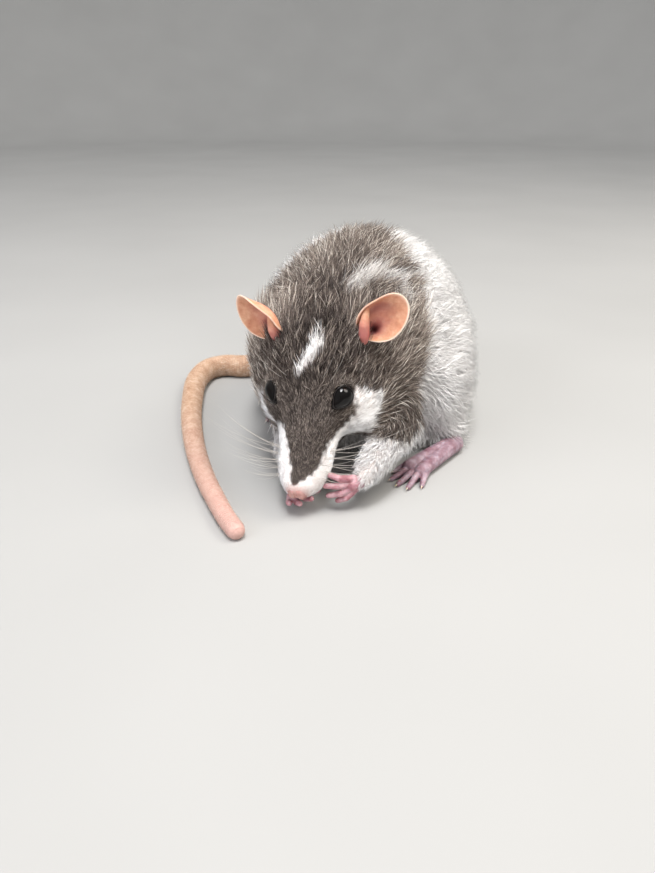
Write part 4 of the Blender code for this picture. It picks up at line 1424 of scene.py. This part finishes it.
def finish_digits(flesh, claws, limb, side, material, solid):
    digits = melted(f"{limb}_skin_{side}", flesh, DIGIT_VOXEL, DIGIT_SMOOTHING)
    move_points(digits, keep_above(points_of(digits), 0))
    settle(digits, material, "bare_skin", solid)
    horn = mesh_object(f"claws_{limb}_{side}", claws)
    move_points(horn, keep_above(points_of(horn), CLAW_CLEAR))
    settle(horn, claw_horn, "bare_skin")


# %% Hands
HANDS = {
    "left": {"aim": (-0.80, -0.52, -0.25), "spread": (-0.25, -0.1, 0.96), "palm": (-0.4, 0.9, 0)},
    "right": {"aim": (0.55, -0.83, -0.08), "spread": (0.75, 0.55, 0.35), "palm": (0.2, 0.2, 0.95)},
}
FINGER_ANGLES = (-26, -8, 9, 27)
FINGER_LENGTHS = (6.8, 8.4, 8.6, 7.0)
FINGER_RADII = (1.35, 1.2, 1.08, 0.88)
FINGER_START = 2.6
FINGER_SPREAD = 1.9
KNUCKLE_AT = 0.30
BEND_AT = 0.62
FINGER_ARCH = 0.45
FINGER_CURL = 1.5
PALM_LENGTH = 3.4
PALM_RADII = (2.2, 2.1, 2.3)
HAND_CLAW = 0.7
DIGIT_VOXEL = 0.2
DIGIT_SMOOTHING = 3


def square_to(aim, direction):
    direction = Vector(direction)
    return unit(direction - aim * aim.dot(direction))


def make_hand(side):
    wrist = Vector(ARMS[side][2])
    aim = unit(HANDS[side]["aim"])
    spread = square_to(aim, HANDS[side]["spread"])
    palm = square_to(aim, HANDS[side]["palm"])
    elbow = Vector(ARMS[side][1])
    flesh = bmesh.new()
    claws = bmesh.new()
    add_chain(flesh, [wrist.lerp(elbow, 0.25), wrist, wrist + aim * PALM_LENGTH], PALM_RADII)
    for angle, length in zip(FINGER_ANGLES, FINGER_LENGTHS):
        out = fanned(aim, spread, angle)
        start = wrist + aim * FINGER_START + spread * FINGER_SPREAD * math.sin(math.radians(2 * angle))
        knuckle = start + out * KNUCKLE_AT * length - palm * FINGER_ARCH
        bend = start + out * BEND_AT * length - palm * FINGER_ARCH
        tip = start + out * length + palm * FINGER_CURL
        add_chain(flesh, [start, knuckle, bend, tip], FINGER_RADII)
        ahead = (tip - bend).normalized()
        add_claw(claws, tip + ahead * 0.3 - palm * 0.2, ahead, palm, HAND_CLAW)
    finish_digits(flesh, claws, "hand", side, hand_skin, f"hand_{side}")


for side in SIDES:
    make_hand(side)

# %% Hind feet
FEET = {
    "left": (Vector((37.5, -12.5, 3.2)), Vector((27.4, -32, 2.6))),
    "right": (Vector((-33.0, 22, 3.2)), Vector((-27.0, -4, 2.6))),
}
TOE_SPREAD = (-24, -10, 1, 12, 27)
TOE_LENGTHS = (5.5, 9.5, 10.5, 10, 6.5)
TOE_RADII = (1.45, 1.2, 1.0, 0.85)
TOE_START_HEIGHT = 1.9
TOE_START_SPREAD = 3.6
TOE_KNUCKLE_AT = 0.42
TOE_JOINT_AT = 0.75
INNER_SOLE = (-2.2, (3.3, 2.4))
OUTER_SOLE = (2.4, (3.1, 2.3))
TOE_ARCH = Vector((0, 0, 0.35))
DOWN = Vector((0, 0, -1))


def make_foot(side):
    heel, ball = FEET[side]
    aim = (ball - heel).normalized()
    across = Vector((-aim.y, aim.x, 0)).normalized() * SIDES[side]
    flesh = bmesh.new()
    claws = bmesh.new()
    for reach, radii in (INNER_SOLE, OUTER_SOLE):
        add_chain(flesh, [heel, ball + across * reach], radii)
    for angle, length in zip(TOE_SPREAD, TOE_LENGTHS):
        out = fanned(aim, across, angle)
        start = ball + across * TOE_START_SPREAD * math.sin(math.radians(2.4 * angle)) - aim * 1.5
        start.z = TOE_START_HEIGHT
        knuckle = start + out * TOE_KNUCKLE_AT * length + TOE_ARCH
        joint = start + out * TOE_JOINT_AT * length - TOE_ARCH
        tip = start + out * length
        tip.z = TOE_RADII[-1]
        add_chain(flesh, [start, knuckle, joint, tip], TOE_RADII)
        add_claw(claws, tip + out * 0.4 + Vector((0, 0, 0.25)), out, DOWN, 1.0)
    finish_digits(flesh, claws, "foot", side, foot_skin, f"hind_foot_{side}")


for side in SIDES:
    make_foot(side)

# %% [markdown]
# The tail is bare, scaly skin in over two hundred rings, with short bristles between the rings.
# A flat grid is rolled up along the tail's own route. Each ring of scales slopes up from a groove
# to its rear edge. The grid's own map runs round the tail and along it, so the material can
# divide the rings into scales.

# %% Tail
TAIL_ROUTE = (
    (4, 41), (-3, 48), (-20, 52.5), (-37, 46), (-48, 36.5), (-57.5, 30), (-66.3, 28.3), (-71.6, 22),
    (-70.8, 10), (-65.5, -4), (-58, -20), (-50, -34.3), (-42, -46.7), (-34, -57.5),
    (-26, -67), (-19.8, -74), (-14.5, -79),
)
TAIL_NAMES = ("tail_base", "tail_second", "tail_third", "tail_fourth", "tail_end")
TAIL_BASE_RADIUS = 6.15
TAIL_TIP_RADIUS = 2.7
TAIL_TAPER = 0.85
TAIL_ROOT_LIFT = 12
TAIL_ROOT = 0.155
TAIL_SUNK = 0.35
TAIL_SIDES = 40
RING_SPACING = 0.9
RING_RISE = 0.15
RING_STEPS = 5
DOME_STEPS = 10
TAIL_LINE = [Vector((x, y, 0)) for x, y in TAIL_ROUTE]
TAIL_LENGTH = smooth_route(TAIL_LINE, 200)[1]
RING_COUNT = int(TAIL_LENGTH / RING_SPACING)


def tail_stations(count):
    """The tail's middle line, the way ahead and the radius at evenly spaced stations."""
    route, _ = smooth_route(TAIL_LINE, count)
    part = np.linspace(0, 1, count)
    radius = TAIL_BASE_RADIUS + part**TAIL_TAPER * (TAIL_TIP_RADIUS - TAIL_BASE_RADIUS)
    route[:, 2] = radius - TAIL_SUNK + TAIL_ROOT_LIFT * np.maximum(0, 1 - part / TAIL_ROOT) ** 2
    return route, unit_rows(np.gradient(route, axis=0)), radius


def out_of_tail(ahead, angle):
    """The way out of the tail at an angle round it, from its right side over its top."""
    side = unit_rows(np.cross(ahead, (0, 0, 1)))
    up = np.cross(side, ahead)
    return np.cos(angle)[:, None] * side + np.sin(angle)[:, None] * up


def tail_rings():
    """Middle, way ahead and radius of each row of the grid, the round tip's rows too."""
    rows = RING_COUNT * RING_STEPS
    route, ahead, radius = tail_stations(rows + 1)
    part = np.arange(rows + 1) % RING_STEPS / RING_STEPS
    radius = radius - RING_RISE * (1 - part) ** 3
    turn = np.linspace(0, math.pi / 2, DOME_STEPS + 1)[1:]
    tip = route[-1] + np.outer(np.sin(turn) * radius[-1], ahead[-1])
    route = np.concatenate([route, tip])
    ahead = np.concatenate([ahead, np.tile(ahead[-1], (DOME_STEPS, 1))])
    return route, ahead, np.concatenate([radius, radius[-1] * np.maximum(np.cos(turn), 0.02)])


def rolled_up(points, rows):
    """Points of a flat grid from -1 to 1, rolled round the tail's route."""
    route, ahead, radius = tail_rings()
    row = np.round((points[:, 1] + 1) / 2 * rows).astype(int)
    turn = math.pi * (points[:, 0] - 0.5)
    return keep_above(route[row] + radius[row][:, None] * out_of_tail(ahead[row], turn), 0)


def make_tail(material):
    rows = RING_COUNT * RING_STEPS + DOME_STEPS
    bm = bmesh.new()
    bm.loops.layers.uv.new("scales")
    bmesh.ops.create_grid(bm, x_segments=TAIL_SIDES, y_segments=rows, size=1, calc_uvs=True)
    tail = mesh_object("tail_skin_whole", bm)
    move_points(tail, rolled_up(points_of(tail), rows))
    bm = bmesh.new()
    bm.from_mesh(tail.data)
    bmesh.ops.remove_doubles(bm, verts=bm.verts, dist=1e-3)
    bmesh.ops.holes_fill(bm, edges=[edge for edge in bm.edges if edge.is_boundary], sides=0)
    bmesh.ops.recalc_face_normals(bm, faces=bm.faces)
    bm.to_mesh(tail.data)
    bm.free()
    settle(tail, material, "tail_skin", *TAIL_NAMES)


SCALES_ROUND = 30
SCALE_ROWS = RING_COUNT + DOME_STEPS / RING_STEPS


def tail_material():
    material, tree, shader = new_material("scaly tail skin", Roughness=0.55, Specular_IOR_Level=0.3)
    uv = add_node(tree, "ShaderNodeUVMap", uv_map="scales")
    scaled = add_node(
        tree, "ShaderNodeMapping", {"Vector": uv.outputs["UV"], "Scale": (SCALES_ROUND, SCALE_ROWS, 1.0)}
    )
    scales = add_node(
        tree, "ShaderNodeTexBrick",
        {"Vector": scaled.outputs[0], "Scale": 1.0, "Mortar Size": 0.07, "Mortar Smooth": 0.7,
         "Brick Width": 1.0, "Row Height": 1.0, "Color1": linear("#d3b59d"), "Color2": linear("#b18c70"),
         "Mortar": linear("#926a50")},
    )
    rust = blotched(
        tree, 4 * MM, ((0.3, "#94694d"), (0.5, "#bd9a80"), (0.7, "#dcc5b0")), Detail=5.0, Roughness=0.65
    )
    dappled = add_node(
        tree, "ShaderNodeMix", {0: 0.5, MIX_A: scales.outputs["Color"], MIX_B: rust}, data_type="RGBA"
    )
    axes = add_node(tree, "ShaderNodeSeparateXYZ", {"Vector": uv.outputs["UV"]})
    toward_tip = add_node(
        tree, "ShaderNodeMapRange",
        {"Value": axes.outputs["Y"], "From Min": 0.62, "From Max": 1.0, "To Max": 0.75},
    )
    colour = add_node(
        tree, "ShaderNodeMix",
        {0: toward_tip.outputs[0], MIX_A: dappled.outputs[MIX_RESULT], MIX_B: linear("#c9a09a")},
        data_type="RGBA",
    )
    finish_shader(
        tree, shader, colour.outputs[MIX_RESULT], scales.outputs["Fac"], 0.12 * MM, 0.8, invert=True
    )
    return material


make_tail(tail_material())

# %% [markdown]
# Bristles and whiskers are single hairs, so each is one thin closed spike. A whisker is long enough
# to show its curve, so its cone is cut across and bent. Whiskers grow in four rows of five on each
# side of the upper lip, the longest at the back, and two more stand above each eye.

# %% Bristles of the tail
hair_horn, _, _ = new_material(
    "pale bristle keratin", Base_Color=linear("#d9cdbf"), Roughness=0.4, Specular_IOR_Level=0.4
)
BRISTLES_PER_RING = 16
BRISTLES_BELOW = 0.9
BRISTLE_LENGTHS = (1.3, 2.4)
BRISTLE_RADIUS = 0.055
BRISTLE_SUNK = 0.3
BRISTLE_LIFT = 0.42
BRISTLE_JITTER = 0.12


def make_bristles():
    route, ahead, radius = tail_stations(RING_COUNT + 1)
    count = RING_COUNT * BRISTLES_PER_RING
    ring = np.repeat(np.arange(RING_COUNT), BRISTLES_PER_RING)
    angle = RANDOM.uniform(-BRISTLES_BELOW, math.pi + BRISTLES_BELOW, count)
    out = out_of_tail(ahead[ring], angle)
    root = route[ring] + out * (radius[ring] - BRISTLE_SUNK)[:, None]
    length = RANDOM.uniform(*BRISTLE_LENGTHS, count)[:, None]
    way = ahead[ring] + BRISTLE_LIFT * out + RANDOM.normal(size=(count, 3)) * BRISTLE_JITTER
    tip = root + unit_rows(way) * length
    for points in (root, tip):
        keep_above(points, FLOOR_CLEAR)
    columns = rings_round(root, way, np.full(count, BRISTLE_RADIUS), angle) + [tip]
    points = np.stack(columns, axis=1).reshape(-1, 3)
    faces = (np.array(STRAIGHT_FACES)[None] + 4 * np.arange(count)[:, None, None]).reshape(-1, 3)
    settle(mesh_from_arrays("tail_bristles", points, faces), hair_horn, "tail_skin")


make_bristles()

# %% Whiskers
WHISKER_ROWS = ((-0.6, -16.5), (-2.2, -16), (-3.8, -15.5), (-5.4, -15.5))
WHISKERS_PER_ROW = 5
WHISKER_RADIUS = 0.055
WHISKER_SIDES = 5
WHISKER_CUTS = 11
WHISKER_SIDE = 6.8
WHISKER_INWARD = 0.55
WHISKER_GAP = 1.9
WHISKER_CLEAR = 0.1
WHISKER_LONGEST = 30
WHISKER_SHORTER = 4.6
WHISKER_SPREAD = (0.85, 1.1)
WHISKER_JITTER = 0.08
BROW_LENGTH = 14
WHISKER_BOW = Vector((0, 0.28, -0.12))
BROW_BOW = Vector((0, 0.3, 0))
whisker_horn, _, _ = new_material(
    "translucent whisker keratin", Base_Color=linear("#b9b2aa"), Roughness=0.3, Specular_IOR_Level=0.5
)
SKIN_TREE = BVHTree.FromPolygons(skin_points.tolist(), TRIANGLES.tolist())


def on_skin(place):
    """The skin's nearest point to a place of the head's frame, and its normal."""
    point, normal, _, _ = SKIN_TREE.find_nearest(head_point(*place))
    return point, normal


def add_whisker(bm, root, out, bow, length):
    turn = HEAD.to_3x3()
    ahead = turn @ unit(out)
    add_spike(bm, root, ahead, turn @ bow, length, WHISKER_RADIUS, WHISKER_SIDES, WHISKER_CUTS)


def make_whiskers(side):
    sign = SIDES[side]
    bm = bmesh.new()
    for row, (height, back) in enumerate(WHISKER_ROWS):
        for order in range(WHISKERS_PER_ROW):
            from_middle = WHISKER_SIDE - WHISKER_INWARD * order
            root, _ = on_skin((sign * from_middle, back - WHISKER_GAP * order, height))
            length = (WHISKER_LONGEST - WHISKER_SHORTER * order) * RANDOM.uniform(*WHISKER_SPREAD)
            out = Vector((sign, 0.15 - 0.12 * order, 0.50 - 0.30 * row))
            out = out + Vector(RANDOM.normal(size=3) * WHISKER_JITTER)
            add_whisker(bm, root, out, WHISKER_BOW, length)
    for offset in (-1.2, 1.4):
        root, _ = on_skin((sign * (6.6 + offset), 3.5, 6.0))
        add_whisker(bm, root, (sign * 0.55, 0.25, 0.9), BROW_BOW, BROW_LENGTH + offset)
    whiskers = mesh_object(f"whiskers_{side}", bm)
    move_points(whiskers, keep_above(points_of(whiskers), WHISKER_CLEAR))
    settle(whiskers, whisker_horn, "white_coat")


for side in SIDES:
    make_whiskers(side)

# %% [markdown]
# The nose pad is bare and pink, two swellings with a cleft between them and a comma of a nostril in
# the side of each. The lips are a thin pink edge on both sides of the line of the mouth.

# %% Nose and lips
NOSE_VOXEL = 0.14
NOSE_LOBES = (
    ((0, -28.1, -2.4), (3.0, 2.0, 2.8)), ((1.4, -29.2, -2.8), (1.45, 1.15, 1.6)),
    ((0.5, -28.9, -4.8), (0.8, 0.9, 1.4)),
)
NOSTRIL = (2.4, -29.8, -2.5)
NOSTRIL_RADII = (0.55, 0.9, 0.7)
NOSTRIL_TURN = (0, 25, 30)
CLEFT_WIDTH = 0.30
CLEFT_DEPTH = 0.7
CLEFT_END = (-28.6, -27)
MOUTH = ((4.6, -20, -9.0), (3.4, -23.5, -8.7), (1.8, -26.2, -8.1), (0, -27.2, -7.6))
LIP_RADIUS = 0.42
LIP_VOXEL = 0.16


def make_nose(material):
    bm = bmesh.new()
    for sign in SIDES.values():
        for (x, y, z), radii in NOSE_LOBES:
            place = HEAD @ Matrix.Translation((sign * x, y, z)) @ Matrix.Diagonal((*radii, 1))
            bmesh.ops.create_icosphere(bm, subdivisions=4, radius=1, matrix=place)
    nose = melted("nose_pad", bm, NOSE_VOXEL, 3)
    points = points_of(nose)
    head = in_head(points)
    cleft = np.exp(-((head[:, 0] / CLEFT_WIDTH) ** 2)) * (1 - rise(head[:, 1], *CLEFT_END))
    move_points(nose, points - normals_of(nose) * (CLEFT_DEPTH * cleft)[:, None])
    for sign in SIDES.values():
        cut_nostril(nose, sign)
    settle(nose, material, "bare_skin")


def cut_nostril(nose, sign):
    x, y, z = NOSTRIL
    _, turn, roll = NOSTRIL_TURN
    place = HEAD @ Matrix.Translation((sign * x, y, z)) @ turned((0, sign * turn, sign * roll))
    hole = bmesh.new()
    bmesh.ops.create_icosphere(
        hole, subdivisions=3, radius=1, matrix=place @ Matrix.Diagonal((*NOSTRIL_RADII, 1))
    )
    cutter = mesh_object("nostril", hole)
    cut = nose.modifiers.new("Nostril", "BOOLEAN")
    cut.operation = "DIFFERENCE"
    cut.object = cutter
    apply_modifiers(nose)
    bpy.data.objects.remove(cutter, do_unlink=True)


def make_lips(material):
    """Two thin rolls of bare skin, one above the line of the mouth and one below it."""
    right = [Vector((-x, y, z)) for x, y, z in MOUTH[:-1]]
    whole = right + [Vector(place) for place in reversed(MOUTH)]
    bm = bmesh.new()
    for height in (LIP_RADIUS, -LIP_RADIUS):
        route, _ = smooth_route([place + Vector((0, 0, height)) for place in whole], 24)
        centres = [on_skin(place)[0] for place in route]
        ends = np.abs(np.linspace(-1, 1, len(centres)))
        add_chain(bm, centres, [LIP_RADIUS * (1 - 0.6 * end**3) for end in ends])
    settle(melted("lips", bm, LIP_VOXEL, 2), material, "bare_skin")


make_nose(bare_material("moist nose skin", "#9a6f6a", "#b98b84", "#cba39b", 0.3 * MM))
make_lips(bare_material("moist lip skin", "#8c4a4c", "#ab6263", "#c08482", 0.3 * MM))

# %% [markdown]
# The stage is a plain pale floor that sweeps up into a wall far off on every side, so no edge
# shows from anywhere. A lamp high overhead lights the whole room. A soft key hangs above and behind
# the rat's left shoulder, where the photo's light comes from, and two more fill from the front. A
# small one above the head makes the points of light in the eyes.

# %% Floor
FLOOR_REACH = 3
FLOOR_CUTS = 60
WALL_START = 1.5
WALL_HEIGHT = 1.6
GRAIN_SIZE = 0.125


def make_floor():
    bm = bmesh.new()
    bmesh.ops.create_grid(bm, x_segments=FLOOR_CUTS, y_segments=FLOOR_CUTS, size=FLOOR_REACH)
    for vert in bm.verts:
        vert.co.z = WALL_HEIGHT * step_up(vert.co.length, WALL_START, FLOOR_REACH)
    floor = mesh_object("floor", bm)
    floor.data.shade_smooth()
    material, tree, shader = new_material("plain matt floor", Roughness=0.9, Specular_IOR_Level=0.1)
    finish_shader(tree, shader, blotched(tree, GRAIN_SIZE, ((0.3, "#a3a2a0"), (0.7, "#a7a6a4"))))
    floor.data.materials.append(material)
    floor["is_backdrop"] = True


make_floor()

# %% Lights
RAT_MIDDLE = Vector((0, 0, 0.03))
LIGHTS = {
    "ceiling": ((0.2, -0.3, 3.2), 1.2, 55.0, "#ffffff"),
    "key": ((0.45, 0.10, 0.65), 0.45, 3.8, "#fff8ee"),
    "fill": ((-0.55, -0.70, 0.45), 0.7, 4.5, "#f4f6ff"),
    "front": ((0.5, -0.7, 0.4), 0.5, 2.4, "#ffffff"),
    "eye points": ((0.06, -0.22, 0.60), 0.17, 2.2, "#ffffff"),
}
NOT_IN_THE_EYES = ("fill", "front")


def add_light(name, place, size, power, tint):
    """A round lamp that faces the rat, of a width in metres and a power in watts."""
    light = bpy.data.lights.new(name, "AREA")
    light.shape = "DISK"
    light.size = size
    light.energy = power
    light.color = linear(tint)[:3]
    lamp = new_object(name, light)
    lamp.location = place
    lamp.rotation_euler = (RAT_MIDDLE - Vector(place)).to_track_quat("-Z", "Y").to_euler()
    lamp.visible_glossy = name not in NOT_IN_THE_EYES


for name, values in LIGHTS.items():
    add_light(name, *values)
world = bpy.data.worlds.new("soft room")
bpy.context.scene.world = world
world.use_nodes = True
sky = world.node_tree.nodes["Background"]
sky.inputs["Color"].default_value = linear("#dfe1e3")
sky.inputs["Strength"].default_value = 0.6
bpy.context.scene.view_settings.view_transform = "Standard"

# %% [markdown]
# The camera stands where the photographer's stood: a little to the rat's left, above it, and close,
# with a wide lens, which makes the head look large.

# %% Camera
CAMERA_PLACE = Vector((52.3, -214.0, 110.8))
CAMERA_DOWN = 28
CAMERA_TURN = 16.6
FOCAL_PIXELS = 656
PICTURE_HEIGHT = 873
SENSOR = 36
NEAREST = 0.005

camera_data = bpy.data.cameras.new("camera")
camera_data.sensor_width = SENSOR
camera_data.lens = FOCAL_PIXELS / PICTURE_HEIGHT * SENSOR
camera_data.clip_start = NEAREST
camera = new_object("camera", camera_data)
camera.location = TO_FRAME @ CAMERA_PLACE
camera.rotation_euler = (math.radians(90 - CAMERA_DOWN), 0, math.radians(CAMERA_TURN))
bpy.context.scene.camera = camera
print("lens in mm:", round(camera_data.lens, 2))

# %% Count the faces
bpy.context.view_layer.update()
faces = sum(len(obj.data.polygons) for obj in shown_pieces() if obj.type == "MESH")
print("faces in all:", faces)
